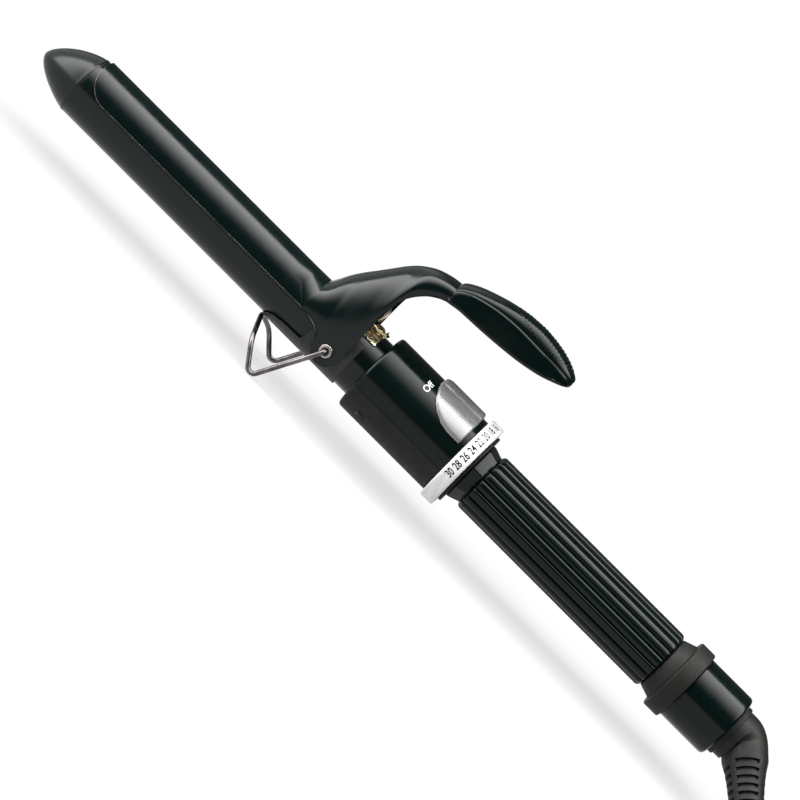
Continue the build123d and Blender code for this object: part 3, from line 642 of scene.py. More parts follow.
def arm_ring(top, bottom, top_width, bottom_width, depth, fullness):
    """Edge-to-edge points of the arm's section between its top and lower lines."""
    top, bottom = Vector(top), Vector(bottom)
    way = bottom - top
    reach = way.length
    depth = min(depth, reach * 0.98)
    half = []
    count = ACROSS // 2
    for j in range(count + 1):
        t = j / count
        if t < ROUND_SHARE:
            angle = math.pi / 2 * t / ROUND_SHARE
            width = top_width * math.sin(angle) ** (2 / fullness)
            down = depth * (1 - math.cos(angle) ** (2 / fullness))
        else:
            part = (t - ROUND_SHARE) / (1 - ROUND_SHARE)
            down = depth + (reach - depth) * part
            width = top_width + (bottom_width - top_width) * ramp(part, -0.3, 0.9)
        place = top + way.normalized() * down
        half.append((place.x, width, place.y))
    across = [(x, y, z) for x, y, z in reversed(half)] + [(x, -y, z) for x, y, z in half[1:]]
    return [at(x, y, z) for x, y, z in across]


def clamp_sheet():
    rings = []
    start = PLATE_FRONT + 0.02
    for i in range(PLATE_ROWS + 1):
        t = i / PLATE_ROWS
        rings.append(plate_ring(start + (PLATE_CORNER - start) * t ** FRONT_CROWDING))
    for i in range(1, STRAIGHT_ROWS):
        rings.append(plate_ring(PLATE_CORNER + (KINK - 1.2 - PLATE_CORNER) * i / STRAIGHT_ROWS))
    rows = [(*top, *bottom, *sizes) for top, bottom, *sizes in ARM]
    firsts = curve_points([row[:3] for row in rows], ARM_ROWS)
    seconds = curve_points([row[3:6] for row in rows], ARM_ROWS)
    thirds = curve_points([(*row[6:8], 0.0) for row in rows], ARM_ROWS)
    for a, b, c in zip(firsts, seconds, thirds):
        rings.append(arm_ring((a.x, a.y), (a.z, b.x), b.y, b.z, c.x, c.y))
    return loft(rings, ring_closed=False, caps=False)


add_piece(
    "clamp_lever", clamp_sheet(), "enamel", "clamp_lever", ["clamp"],
    sharp=50, solid=CLAMP_WALL, bevel=0.34,
)

EDGE_R = 0.13               # radius of the bright steel bead that paints a highlight line along the plate's edge


def clamp_edge():
    """Bright steel bead along the plate's edge, from one side round the front to the other: a painted
    highlight line.
    """
    reach = PLATE_CORNER - PLATE_FRONT
    stations = [PLATE_FRONT + 0.02 + reach * (i / 20) ** FRONT_CROWDING for i in range(21)]
    stations += [PLATE_CORNER + (KINK - PLATE_CORNER) * i / 12 for i in range(1, 13)]
    near = [plate_ring(station)[-1] for station in stations]
    far = [plate_ring(station)[0] for station in stations]
    return swept(list(reversed(far)) + near[1:], EDGE_R * MM, 8)


# A steel bead that paints the thin highlight line along the clamp plate's edge.
add_piece("clamp_edge", clamp_edge(), "wire", "clamp_lever")


# ---- thumb rest -----------------------------------------------------------
# Station, half width, underside, shoulder and crown of the moulding.
THUMB = [
    (173.35, 8.1, 41.3, 45.5, 48.6), (173.9, 8.6, 41.0, 46.1, 49.4), (176.0, 8.7, 41.3, 47.8, 50.8),
    (180.0, 8.75, 41.9, 49.8, 52.8), (186.0, 8.8, 42.2, 51.5, 55.0), (192.0, 8.8, 42.5, 52.6, 56.8),
    (199.5, 8.8, 43.1, 53.2, 58.2), (207.0, 8.75, 43.9, 53.1, 58.7), (213.0, 8.55, 44.9, 52.9, 58.2),
    (218.0, 8.2, 46.0, 52.8, 57.3), (222.0, 7.4, 47.2, 52.4, 56.1), (225.2, 6.1, 48.2, 51.8, 54.7),
    (227.4, 4.4, 49.0, 51.3, 53.4), (228.25, 2.9, 49.7, 51.2, 52.5),
]
THUMB_ROWS = 72
PAD_MIDDLE = 209.5
PAD_LENGTH = 33.2
PAD_HALF_WIDTH = 6.9
SHOULDER_SHARE = 0.85       # width at the shoulder over the width at the underside
PAD_RIBS = 21
ROWS_PER_RIB = 10
RIB_HEIGHT = 0.45
PAD_LIFT = 0.35
CREST_WIDTH = 0.5           # bevel between the domed top and the side
CREST_RISE = 0.4


def crown_height(y, half_width, shoulder, crown):
    """Height of the domed top, which springs from a crisp shoulder."""
    t = min(abs(y) / (half_width - CREST_WIDTH), 1.0)
    foot = shoulder + CREST_RISE
    return foot + (crown - foot) * (1 - t ** 2.2) ** 0.6


def thumb_ring(station, half_width, low, shoulder, crown):
    """Section of the thumb rest: domed top, crisp shoulder and sides that lean out to the underside."""
    edge = half_width * SHOULDER_SHARE
    corner = min(1.6, half_width * 0.4)
    inner = edge - CREST_WIDTH
    right = [
        (inner * f, crown_height(inner * f, edge, shoulder, crown))
        for f in (0.0, 0.12, 0.25, 0.38, 0.5, 0.62, 0.73, 0.82, 0.9, 0.95, 0.985, 1.0)
    ]
    drop = shoulder - low
    lean = half_width - edge
    right += [
        (edge, shoulder - 0.1), (edge + lean * 0.2, shoulder - drop * 0.12),
        (edge + lean * 0.48, shoulder - drop * 0.35), (edge + lean * 0.8, low + drop * 0.35),
        (half_width, low + corner), (half_width - corner * 0.3, low + corner * 0.3),
        (half_width - corner, low), (0.0, low - 0.1),
    ]
    left = [(-y, z) for y, z in reversed(right[1:-1])]
    return [at(station, y, z) for y, z in right + left]


def thumb_shape():
    rows = curve_points([row[:3] for row in THUMB], THUMB_ROWS)
    more = curve_points([(row[3], row[4], 0.0) for row in THUMB], THUMB_ROWS)
    return loft([thumb_ring(a.x, a.y, a.z, b.x, b.y) for a, b in zip(rows, more)])


def pad_shape():
    """Ribbed lens set into the top of the thumb rest."""
    rows, columns = PAD_RIBS * ROWS_PER_RIB, 22
    rings = []
    for i in range(rows + 1):
        s = -1 + 2 * (i + 0.02) / (rows + 0.04)
        station = PAD_MIDDLE + s * PAD_LENGTH / 2
        reach = PAD_HALF_WIDTH * math.sqrt(max(1 - s * s, 0.0)) ** 1.15
        half_width, _, shoulder, crown = table_values(THUMB, station)
        edge = half_width * SHOULDER_SHARE
        phase = (i / ROWS_PER_RIB) % 1.0
        rib = ramp(phase, 0.0, 0.1) * (1 - ramp(phase, 0.76, 0.88))
        upper, lower = [], []
        for j in range(columns + 1):
            v = -math.cos(math.pi * j / columns)
            y = v * reach
            base = crown_height(y, edge, shoulder, crown)
            inside = min(1.0, (1 - abs(v)) * reach / 0.6)
            lift = PAD_LIFT * math.sqrt(max(inside, 0.0))
            grip = RIB_HEIGHT * rib * ramp(1 - abs(v), 0.0, 0.03) * ramp(1 - abs(s), 0.0, 0.06)
            upper.append(at(station, y, base + lift * 0.4 + grip - 0.4))
            lower.append(at(station, y, base - 0.9))
        rings.append(upper + list(reversed(lower)))
    return loft(rings)


add_piece("thumb_grip", thumb_shape(), "gloss", "clamp_lever", ["thumb_rest"], sharp=28)
add_piece("ribbed_pad", pad_shape(), "gloss", "clamp_lever", ["thumb_pad"], sharp=40)


# ---- pivot, stand and spring ----------------------------------------------
STAND_TOE = (140.4, -30.96)
STAND_PEAK = (126.6, -13.8)
STAND_BENDS = (1.3, 2.6, 9.0, 4.5, 9.0, 2.6, 1.3)


def stand_shape():
    """The bent wire, from one hollow rivet round to the other."""
    toe_x, toe_z = STAND_TOE
    peak_x, peak_z = STAND_PEAK
    shoulder = (toe_x + (peak_x - toe_x) * 0.62, toe_z + (peak_z - toe_z) * 0.62)
    half = [
        at(PIVOT, STAND_HALF_SPAN - 4.6, PIVOT_Z), at(PIVOT, STAND_HALF_SPAN, PIVOT_Z),
        at(toe_x, STAND_HALF_SPAN, toe_z), at(shoulder[0], STAND_HALF_SPAN - 3.2, shoulder[1]),
    ]
    left = [Vector((p.x, -p.y, p.z)) for p in reversed(half)]
    path = rounded_path(half + [at(peak_x, 0, peak_z)] + left, STAND_BENDS, 12)
    return swept(path, WIRE_R * MM, 20)


def cross_turned(profile, segments=40):
    """A closed (y, radius) outline turned about the pivot's line across the tool."""
    rings = []
    for i in range(segments):
        angle = math.tau * i / segments
        rings.append([
            at(PIVOT + r * math.cos(angle), y, PIVOT_Z + r * math.sin(angle)) for y, r in profile
        ])
    return loft(rings, path_closed=True)


def eyelet(side):
    """Hollow rivet with a rolled head outside and a flare inside the barrel."""
    outline = [
        (9.6, 1.25, 0.1), (9.6, 2.3, 0.2), (10.2, 2.3, 0.1), (10.2, 1.9, 0), (14.6, 1.9, 0),
        (14.6, 2.7, 0.2), (15.1, 2.55, 0.3), (15.2, 1.9, 0.3), (15.0, 1.25, 0.3),
    ]
    return cross_turned([(side * y, r) for y, r in rounded(outline, 0.1, 3)])


# Thin matte ring under each rivet head: a washer that also paints the dark ring of shade round the rivet.
def washer(side):
    outline = rounded([(14.47, 2.0), (14.47, 3.3), (14.62, 3.3), (14.62, 2.0)], 0.06, 2)
    return cross_turned([(side * y, r) for y, r in outline])


# Station and height of the strap's upper edge.
SADDLE_EDGE = [(126.6, -12.9), (128.2, -10.2), (131.0, -8.6), (136.0, -7.7), (144.5, -7.4)]
SADDLE_EDGE += [(147.8, 8.0), (SADDLE_REAR, 8.0)]   # the neck behind the lever
SADDLE_WALL = 0.38
SADDLE_ROWS = 60


def saddle_shape():
    rings = []
    for i in range(SADDLE_ROWS + 1):
        station = SADDLE_FRONT + 0.1 + (SADDLE_REAR - SADDLE_FRONT - 0.2) * i / SADDLE_ROWS
        reach = math.acos(-table_values(SADDLE_EDGE, station)[0] / SADDLE_R)
        rings.append([
            at(station, SADDLE_R * math.sin(a), -SADDLE_R * math.cos(a))
            for a in (reach * (1 - 2 * j / 48) for j in range(49))
        ])
    return loft(rings, ring_closed=False, caps=False)


SPRING_X = 157.5
SPRING_Z = 19.0
SPRING_COIL_R = 3.4
SPRING_WIRE_R = 0.6
SPRING_TURNS = 5.5
SPRING_SIDE = 3.9            # half the length of the coil
NECK_TOP = BARREL_R + 0.6


def spring_shape():
    """Torsion spring: a foot hooked round the screw, the coil, and the arm that lifts the lever."""
    path = [
        at(166.0, -1.9, NECK_TOP + 1.5), at(167.2, -2.8, NECK_TOP + 1.5), at(166.6, -3.9, NECK_TOP + 1.4),
        at(163.5, -4.0, NECK_TOP + 0.9), at(SPRING_X + 2.4, -4.0, NECK_TOP + 1.1),
    ]
    steps = 120
    for i in range(steps + 1):
        turn = math.tau * SPRING_TURNS * i / steps
        path.append(at(
            SPRING_X + SPRING_COIL_R * math.sin(turn + 0.35), SPRING_SIDE * (2 * i / steps - 1),
            SPRING_Z - SPRING_COIL_R * math.cos(turn + 0.35),
        ))
    path += [at(SPRING_X + 1.2, SPRING_SIDE, 26.0), at(SPRING_X + 3.0, SPRING_SIDE, 39.5)]
    return swept(path, SPRING_WIRE_R * MM, 12)


STRAP_FRONT, STRAP_REAR = 158.6, 166.4
STRAP_HALF_WIDTH = 2.6
SCREW_STATION = 163
SCREW_SIDES = 36


def strap_shape():
    """Brass strap bent over the neck, with its tail folded up behind the screw."""
    strap = sleeve(STRAP_FRONT, STRAP_REAR, NECK_TOP, BARREL_R + 0.02, 0.12, segments=30, first=50, last=130)
    tail = [(165.9, NECK_TOP - 0.3), (165.9, 14.8), (166.5, 14.8), (166.5, NECK_TOP - 0.3)]
    outline = rounded(tail, 0.2, 3)
    fold = loft([[at(x, y, z) for x, z in outline] for y in (-STRAP_HALF_WIDTH, STRAP_HALF_WIDTH)])
    return joined(strap, fold)


def screw_shape():
    """Round pan head standing on the strap; its slot and shank are not drawn."""
    profile = rounded([(0, 0.0, 0), (0, 2.4, 0.2), (1.1, 2.4, 0.5), (1.8, 1.4, 0.5), (1.9, 0.0, 0)], 0.2, 4)
    rings = []
    for z, r in profile:
        rings.append([
            at(SCREW_STATION + max(r, 0.02) * math.cos(a), max(r, 0.02) * math.sin(a), NECK_TOP + z)
            for a in (math.tau * i / SCREW_SIDES for i in range(SCREW_SIDES))
        ])
    return loft(rings)


add_piece(
    "stand_saddle_strap", saddle_shape(), "strap", "root", ["stand_saddle"],
    solid=SADDLE_WALL, bevel=0.1,
)
add_piece("wire_stand", stand_shape(), "wire", "stand", ["stand_wire"])
add_piece("hollow_rivets", joined(eyelet(-1), eyelet(1)), "rivet", "root", ["pivot_eyelets"])
# These matte rings also paint the dark shade round each rivet head.
add_piece("rivet_washers_and_shade_rings", joined(washer(-1), washer(1)), "matte", "root")
spring = add_piece("torsion_spring", spring_shape(), "brass", None, ["clamp_spring"])
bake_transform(spring)
add_piece("brass_strap", strap_shape(), "brass", "root", ["spring_plate"])
add_piece("strap_screw", screw_shape(), "brass", "root", ["spring_screw"])


# ---- housing --------------------------------------------------------------
SEAM_Z = -3.5
SEAM_GAP = 0.7              # degrees left open along the joint of the two shells
HOUSING_WALL = 2.0
END_WALL = 2.5


def housing_outline():
    front, rear, skin = HOUSING_FRONT, HOUSING_REAR, HOUSING_R
    return rounded([
        (front, BARREL_R + 0.05, 0.1), (front, skin, 1.7), (rear, skin, 0.35), (rear, CORE_R + 0.05, 0),
        (rear - END_WALL, CORE_R + 0.05, 0), (rear - END_WALL, skin - HOUSING_WALL, 0),
        (front + END_WALL, skin - HOUSING_WALL, 0), (front + END_WALL, BARREL_R + 0.05, 0),
    ], 0.2, 8)


def housing_half(upper):
    seam = math.degrees(math.asin(-SEAM_Z / HOUSING_R))
    if upper:
        return turned(housing_outline(), 96, -seam + SEAM_GAP / 2, 180 + seam - SEAM_GAP / 2)
    return turned(housing_outline(), 80, 180 + seam + SEAM_GAP / 2, 360 - seam - SEAM_GAP / 2)


add_piece("housing_top", housing_half(True), "gloss", "root", ["housing_cover"], bevel=0.15)
add_piece(
    "housing_bottom", housing_half(False), "matte", "root", ["housing_shell"], bevel=0.15,
)


# ---- power slide ----------------------------------------------------------
SLIDE_INNER_R = HOUSING_R + 0.12
SLIDE_SKIN_R = HOUSING_R + 1.05
SLIDE_REACH = 15.2          # half width of the slide, seen from above
RIDGE_HALF_WIDTH = 4.3
RIDGE_LIFT = 1.05
RIM_WIDTH = 0.95            # rounding at the slide's edge
SLIDE_ROWS, SLIDE_COLUMNS = 64, 72
SLIDE_LENGTH = SLIDE_REAR - SLIDE_FRONT
# Distance behind the front of the slide and half width there.
SLIDE_OUTLINE = [
    (0.0, 0.0), (0.0, 4.3), (0.7, 7.3), (2.5, 10.9), (4.4, 12.6), (6.3, 13.6), (10.5, 14.8), (14.5, 15.2),
]


def slide_edge_distance(along, wide):
    """How far a point of the slide lies inside its outline."""
    points = SLIDE_OUTLINE + [(SLIDE_LENGTH, SLIDE_REACH)]
    best = SLIDE_LENGTH - along
    here = Vector((along, abs(wide)))
    for start, end in zip(points, points[1:]):
        a, b = Vector(start), Vector(end)
        run = b - a
        t = min(max((here - a).dot(run) / run.length_squared, 0.0), 1.0)
        best = min(best, (here - a - run * t).length)
    return best


def slide_shape():
    rows, columns = SLIDE_ROWS, SLIDE_COLUMNS
    rings = []
    for i in range(rows + 1):
        t = i / rows
        along = SLIDE_LENGTH * (t ** 1.6) * 0.999 + 0.004
        reach = table_values(SLIDE_OUTLINE[1:], along)[0] * 0.999
        outer, inner = [], []
        for j in range(columns + 1):
            wide = reach * math.sin(math.pi / 2 * (2 * j / columns - 1))
            inside = slide_edge_distance(along, wide)
            rim = min(inside / RIM_WIDTH, 1.0)
            skin = SLIDE_INNER_R + 0.25 + (SLIDE_SKIN_R - SLIDE_INNER_R - 0.25) * math.sqrt(rim * (2 - rim))
            across = abs(wide) / RIDGE_HALF_WIDTH
            if across < 1:
                ridge = RIDGE_LIFT * math.sqrt(1 - across ** 2.6)
                skin += ridge * ramp(along, -1.5, 3.0) * min(inside / 0.8, 1.0)
            angle = math.asin(wide / HOUSING_R)
            outer.append(at(SLIDE_FRONT + along, skin * math.sin(angle), skin * math.cos(angle)))
            inner.append(at(
                SLIDE_FRONT + along, SLIDE_INNER_R * math.sin(angle), SLIDE_INNER_R * math.cos(angle),
            ))
        rings.append(outer + list(reversed(inner)))
    return loft(rings)


add_piece("slide_button", slide_shape(), "slide", "slide", ["power_slide"], sharp=42)


# ---- dial and its marks ---------------------------------------------------
def dial_shape():
    front, rear, rim = DIAL_FRONT, DIAL_REAR, DIAL_R
    return turned(rounded([
        (front, CORE_R + 0.1, 0), (front, rim, 0.9), (rear, rim, 0.9), (rear, rim - 1.6, 0.3),
        (rear - 1.6, rim - 1.9, 0.3), (rear - 1.6, 12.4, 0.3), (rear, 12.0, 0.3), (rear, CORE_R + 0.1, 0),
    ], 0.3, 6), 128)


def mark(name, text, station, turn, radius, size, look, body, narrow=1.0, weight=0.0):
    """Raised printing on a round surface; turn is degrees up from the -Y side, narrow scales its width."""
    curve = bpy.data.curves.new(name, "FONT")
    curve.body = text
    curve.size = size
    curve.align_x = "CENTER"
    curve.align_y = "CENTER"
    curve.extrude = 0.02
    curve.offset = weight
    curve.resolution_u = 4
    flat = placed(name, curve)
    bpy.context.view_layer.update()
    mesh = bpy.data.meshes.new_from_object(flat.evaluated_get(bpy.context.evaluated_depsgraph_get()))
    bpy.data.objects.remove(flat)
    points = []
    for vertex in mesh.vertices:
        x, y, z = vertex.co
        angle = math.radians(turn) + x * narrow / radius
        lift = radius + 0.02 + z
        points.append(at(station - y, -lift * math.cos(angle), lift * math.sin(angle)))
    faces = [tuple(face.vertices) for face in mesh.polygons]
    bpy.data.meshes.remove(mesh)
    return add_piece(name, (points, faces), look, body, sharp=30)


DIAL_NUMBERS = range(30, 15, -2)
DIAL_FIRST_TURN = -2.5
DIAL_STEP = 12.0

add_piece("temperature_dial", dial_shape(), "dial", "dial", ["dial_ring"], sharp=40)
for index, number in enumerate(DIAL_NUMBERS):
    mark(
        f"dial_mark_{number}", str(number), (DIAL_FRONT + DIAL_REAR) / 2,
        DIAL_FIRST_TURN + DIAL_STEP * index, DIAL_R, 4.5, "black_ink", "dial", 0.66, 0.07,
    )
mark("off_mark", "Off", 191.4, 55.0, HOUSING_R, 4.0, "white_ink", "root")


# ---- handle ---------------------------------------------------------------
GRIP_RIBS = 18
RIB_DEPTH = 1.25
RIB_STEPS = 14


def collar_shape():
    """Eight-sided collar that narrows to the grip."""
    rings = []
    rear = GRIP_FRONT + 0.2
    for station, size in (
        (FLANGE_REAR - 0.05, 12.5), (FLANGE_REAR + 0.35, 12.95), (FLANGE_REAR + 1.2, 12.85), (rear, 11.4),
    ):
        corners = [
            (size * math.cos(math.radians(22.5 + 45 * k)), size * math.sin(math.radians(22.5 + 45 * k)))
            for k in range(8)
        ]
        rings.append([at(station, y, z) for y, z in rounded(corners, 1.0, 5)])
    return loft(rings)


def rib_radius(angle):
    """Fluted section of the grip: half-round ribs with narrow grooves between."""
    pitch = math.tau / GRIP_RIBS
    t = abs((angle / pitch) % 1.0 - 0.5) * 2
    return RIB_DEPTH * (1 - (1 - t ** 3.0) ** 0.62)


def grip_shape():
    stations = [
        (0.0, -1.9), (0.15, -1.25), (0.5, -0.65), (1.0, -0.25), (1.7, 0.0), (3.0, 0.0),
    ]
    rows = [(GRIP_FRONT + d, lift) for d, lift in stations]
    rows += [(GRIP_FRONT + (GRIP_REAR - GRIP_FRONT) * k / 8, 0.0) for k in range(1, 8)]
    rows += [(GRIP_REAR - d, lift) for d, lift in reversed(stations)]
    count = GRIP_RIBS * RIB_STEPS
    rings = []
    for station, lift in rows:
        ring = []
        for i in range(count):
            angle = math.tau * i / count
            groove = rib_radius(angle)
            size = GRIP_R + lift * (1 - 0.3 * groove / RIB_DEPTH) - groove
            ring.append(at(station, size * math.cos(angle), size * math.sin(angle)))
        rings.append(ring)
    return loft(rings)


def cone_shape():
    return turned(rounded([
        (GRIP_REAR - 0.1, CORE_R), (GRIP_REAR - 0.1, 10.9), (GRIP_REAR + 0.3, 11.5, 0.3),
        (CONE_REAR, 13.3, 0.2), (CONE_REAR, CORE_R),
    ], 0.1, 4))


def ring_shape():
    return turned(rounded([
        (CONE_REAR, CORE_R), (CONE_REAR, RING_R, 0.9), (RING_REAR, RING_R, 0.9), (RING_REAR, 8.2),
    ], 0.1, 6))


def swivel_shape():
    return turned(rounded([
        (SWIVEL_FRONT, 12.4, 0.1), (SWIVEL_FRONT, SWIVEL_R, 0.2), (SWIVEL_REAR, SWIVEL_R, 2.0),
        (SWIVEL_REAR, 5.0, 0.1), (SWIVEL_REAR - 2.5, 5.0, 0.1), (SWIVEL_REAR - 2.5, 12.4, 0.1),
    ], 0.2, 8), 128)


def cap_shape():
    return turned(rounded([
        (SWIVEL_REAR - 0.05, 5.0, 0), (SWIVEL_REAR - 0.05, CAP_R, 0.2),
        (TOOL_END, CAP_R, 0.5), (TOOL_END, 5.0, 0),
    ], 0.2, 5))


add_piece(
    "dial_backing", sleeve(DIAL_REAR + 0.2, FLANGE_REAR, FLANGE_R, CORE_R, 0.25), "matte", "root",
    ["dial_flange"],
)
add_piece("octagonal_collar", collar_shape(), "gloss", "root", ["faceted_collar"], sharp=60)
add_piece("fluted_grip", grip_shape(), "gloss", "root", ["grip_sleeve"], sharp=50)
add_piece("grip_end_cone", cone_shape(), "matte", "root", ["rear_cone"])
add_piece("grip_end_ring", ring_shape(), "matte", "root", ["rear_ring"])
add_piece("swivel_barrel", swivel_shape(), "gloss", "swivel", ["swivel_shell"])
add_piece("swivel_end", cap_shape(), "matte", "swivel", ["swivel_end_cap"])


# ---- cord elbow with its strain relief ------------------------------------
ELBOW_CORNER = 367.8
ELBOW_BEND_R = 12.0
ELBOW_R = 10.4
BEND_REACH = 7.5            # where the straight relief begins, from the corner
RELIEF_WAY = Vector((0.60, -0.66, -0.45)).normalized()
RELIEF_LENGTH = 45.0
RELIEF_SIZES = [(0.0, 9.6), (7.5, 8.75), (12.0, 7.75), (17.0, 7.1), (22.0, 6.7), (33.0, 5.6), (45.0, 4.4)]
SLOT_START = 10.3
SLOT_PITCH = 3.2
SLOT_WIDTH = 1.6
SLOT_COUNT = 10
SLOT_ROWS = 4               # rows of slots round the relief
SLOT_DEPTH = 1.3
SLOT_SPAN = 73.0
SLOT_TURN = 157.0           # middle of the first row of slots, in degrees round the relief
SLOT_EDGE = 1.6             # degrees over which a slot's end falls


def relief_size(distance):
    return table_values(RELIEF_SIZES, distance)[0]


def slot_rows():
    """Distances along the relief, doubled where a slot has an edge."""
    distances = []
    step = SLOT_PITCH / 2
    for k in range(2 * SLOT_COUNT + 2):
        middle = SLOT_START + k * step
        distances += [middle - SLOT_WIDTH / 2 + f for f in (-0.02, 0.12)]
        distances += [middle + SLOT_WIDTH / 2 + f for f in (-0.12, 0.02)]
    return sorted(d for d in distances if SLOT_START - 3 < d < RELIEF_LENGTH - 1.0)


def slot_depth(distance, turn):
    """How deep the relief is cut at a distance and angle."""
    for row in range(SLOT_ROWS):
        away = abs((turn - SLOT_TURN - 90 * row + 180) % 360 - 180)
        if away > SLOT_SPAN / 2:
            continue
        start = SLOT_START + (SLOT_PITCH / 2 if row % 2 else 0.0)
        index = round((distance - start) / SLOT_PITCH)
        if not 0 <= index < SLOT_COUNT or start + index * SLOT_PITCH > RELIEF_LENGTH - 3.0:
            return 0.0
        off = abs(distance - start - index * SLOT_PITCH)
        if off < SLOT_WIDTH / 2 - 0.06:
            return SLOT_DEPTH * ramp(SLOT_SPAN / 2 - away, 0.0, SLOT_EDGE)
    return 0.0


def slot_turns():
    """Angles round the relief, closer together where slots end."""
    turns = []
    for row in range(SLOT_ROWS):
        middle = SLOT_TURN + 90 * row
        half = SLOT_SPAN / 2
        turns += [middle - half + f for f in (-0.4, 0.3, SLOT_EDGE)]
        turns += [middle - half + (2 * half) * k / 10 for k in range(1, 10)]
        turns += [middle + half + f for f in (-SLOT_EDGE, -0.3, 0.4)]
        turns += [middle + half + (90 - SLOT_SPAN) * f for f in (0.33, 0.66)]
    return sorted(turns)


def elbow_shape():
    across = Vector((1, 0, 0)).cross(RELIEF_WAY).normalized()
    start, corner = at(TOOL_END), at(ELBOW_CORNER)
    bend = rounded_path([start, corner, corner + RELIEF_WAY * BEND_REACH * MM], [ELBOW_BEND_R], 16)
    turns = slot_turns()
    rows = []
    for i, here in enumerate(bend):
        way = bend[min(i + 1, len(bend) - 1)] - bend[max(i - 1, 0)]
        size = ELBOW_R + (relief_size(BEND_REACH) - ELBOW_R) * ramp(i / (len(bend) - 1), 0.0, 1.0)
        rows.append((here, way.normalized() if i else Vector((1, 0, 0)), size, None))
    for distance in slot_rows():
        rows.append((corner + RELIEF_WAY * distance * MM, RELIEF_WAY, relief_size(distance), distance))
    end = corner + RELIEF_WAY * RELIEF_LENGTH * MM
    rows.append((end - RELIEF_WAY * 0.6 * MM, RELIEF_WAY, relief_size(RELIEF_LENGTH), None))
    rows.append((end, RELIEF_WAY, relief_size(RELIEF_LENGTH) - 0.5, None))
    rings = []
    for here, way, size, distance in rows:
        other = across.cross(way)
        ring = []
        for turn in turns:
            angle = math.radians(turn)
            cut = slot_depth(distance, turn) if distance else 0.0
            ring.append(here + (across * math.cos(angle) + other * math.sin(angle)) * (size - cut) * MM)
        rings.append(ring)
    rings.insert(0, [start + (point - start) * 0.96 for point in rings[0]])
    return loft(rings)


elbow = add_piece("cord_elbow_boot", elbow_shape(), "rubber", "swivel", ["cord_elbow"], sharp=38)


# ---- tie, plug and the cord itself ----------------------------------------
TIE_THICKNESS = 0.0011
BLADE_THICKNESS = 0.0015
PLUG_SIDES = 64


def tie_shape():
    """Hook-and-loop band round the waist of the hank."""
    low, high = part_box("hank_tie")
    thick = TIE_THICKNESS
    y0, y1, z0, z1 = low.y, high.y, low.z, high.z
    outer = rounded([(y0, z0), (y1, z0), (y1, z1), (y0, z1)], 0.004, 6)
    inner = rounded([
        (y0 + thick, z0 + thick), (y1 - thick, z0 + thick),
        (y1 - thick, z1 - thick), (y0 + thick, z1 - thick),
    ], 0.003, 6)
    rings = []
    for points, x in ((outer, low.x), (outer, high.x), (inner, high.x), (inner, low.x)):
        rings.append([Vector((x, y, z)) for y, z in points])
    return loft(rings, path_closed=True)


def plug_shape():
    """Moulded two-pin plug with finger grooves and a ringed strain relief."""
    low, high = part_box("plug_body")
    middle = Vector((0, (low.y + high.y) / 2, (low.z + high.z) / 2))
    half_y, half_z = (high.y - low.y) / 2, (high.z - low.z) / 2
    sections = [(0.0, 0.36, 0.53, 2.0), (0.4, 0.385, 0.56, 2.0)]
    for k in range(5):
        for further, wide, tall in ((0.0, 0.37, 0.54), (1.5, 0.37, 0.54), (1.7, 0.3, 0.44), (3.1, 0.3, 0.44)):
            sections.append((1.2 + 3.4 * k + further, wide + 0.02 * k, tall + 0.03 * k, 2.0))
    sections += [
        (18.0, 0.62, 0.8, 2.3), (19.0, 0.78, 0.9, 2.8), (21.5, 0.9, 0.98, 3.5), (25.0, 0.94, 0.96, 4.0),
        (30.0, 0.95, 0.9, 4.0), (36.0, 0.97, 0.93, 4.2), (41.0, 1.0, 0.99, 4.6), (44.5, 1.0, 1.0, 5.0),
        (45.5, 0.985, 0.98, 5.0), (45.98, 0.93, 0.92, 5.0),
    ]
    rings = []
    for along, wide, tall, power in sections:
        ring = []
        for i in range(PLUG_SIDES):
            a = math.tau * i / PLUG_SIDES
            y = math.copysign(abs(math.cos(a)) ** (2 / power), math.cos(a)) * half_y * wide
            z = math.copysign(abs(math.sin(a)) ** (2 / power), math.sin(a)) * half_z * tall
            ring.append(middle + Vector((low.x + along * MM, y, z)))
        rings.append(ring)
    return loft(rings)


def blades_shape():
    """Two flat blades with rounded tips; their holes are not drawn."""
    low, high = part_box("plug_blades")
    thick = BLADE_THICKNESS
    shapes = []
    for y in (low.y, high.y - thick):
        outline = rounded([
            (low.x - 0.001, low.z, 0), (high.x, low.z, 0.0018),
            (high.x, high.z, 0.0018), (low.x - 0.001, high.z, 0),
        ], 0.001, 6)
        shapes.append(loft([[Vector((x, side, z)) for x, z in outline] for side in (y, y + thick)]))
    return joined(*shapes)


tie = add_piece("hank_band", tie_shape(), "tie", "root", ["hank_tie"], bevel=0.2)
plug = add_piece("plug_moulding", plug_shape(), "rubber", "root", ["plug_body"], sharp=45)
blades = add_piece("plug_pins", blades_shape(), "brass", "root", ["plug_blades"], bevel=0.15)
power_cord = cord()
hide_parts("cord_tube", "cord_hank")
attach(power_cord, "root")


# ---- stage, light and camera ----------------------------------------------
FLOOR_HALF_WIDTH = 9.0
FLOOR_GLOW = 0.7
SOFT_BOX_LIGHT = 10.3
BACK_LIGHT = 0.9
ROOM_LIGHT = 0.06
LENS_MM = 162.6


def floor():
    mesh = bpy.data.meshes.new("floor")
    size = FLOOR_HALF_WIDTH
    corners = [(-size, -size, 0), (size, -size, 0), (size, size, 0), (-size, size, 0)]
    mesh.from_pydata(corners, [], [(0, 1, 2, 3)])
    look = new_look("lit_floor", (0.107, 0.107, 0.107), 0.9, specular=0.0)
    vary_colour(look, (0.106, 0.106, 0.106), (0.109, 0.109, 0.109), noise(look, 3.0))
    shader = look.node_tree.nodes["Principled BSDF"]
    shader.inputs["Emission Color"].default_value = (1.0, 1.0, 1.0, 1.0)
    shader.inputs["Emission Strength"].default_value = FLOOR_GLOW
    mesh.materials.append(look)
    placed("floor", mesh)


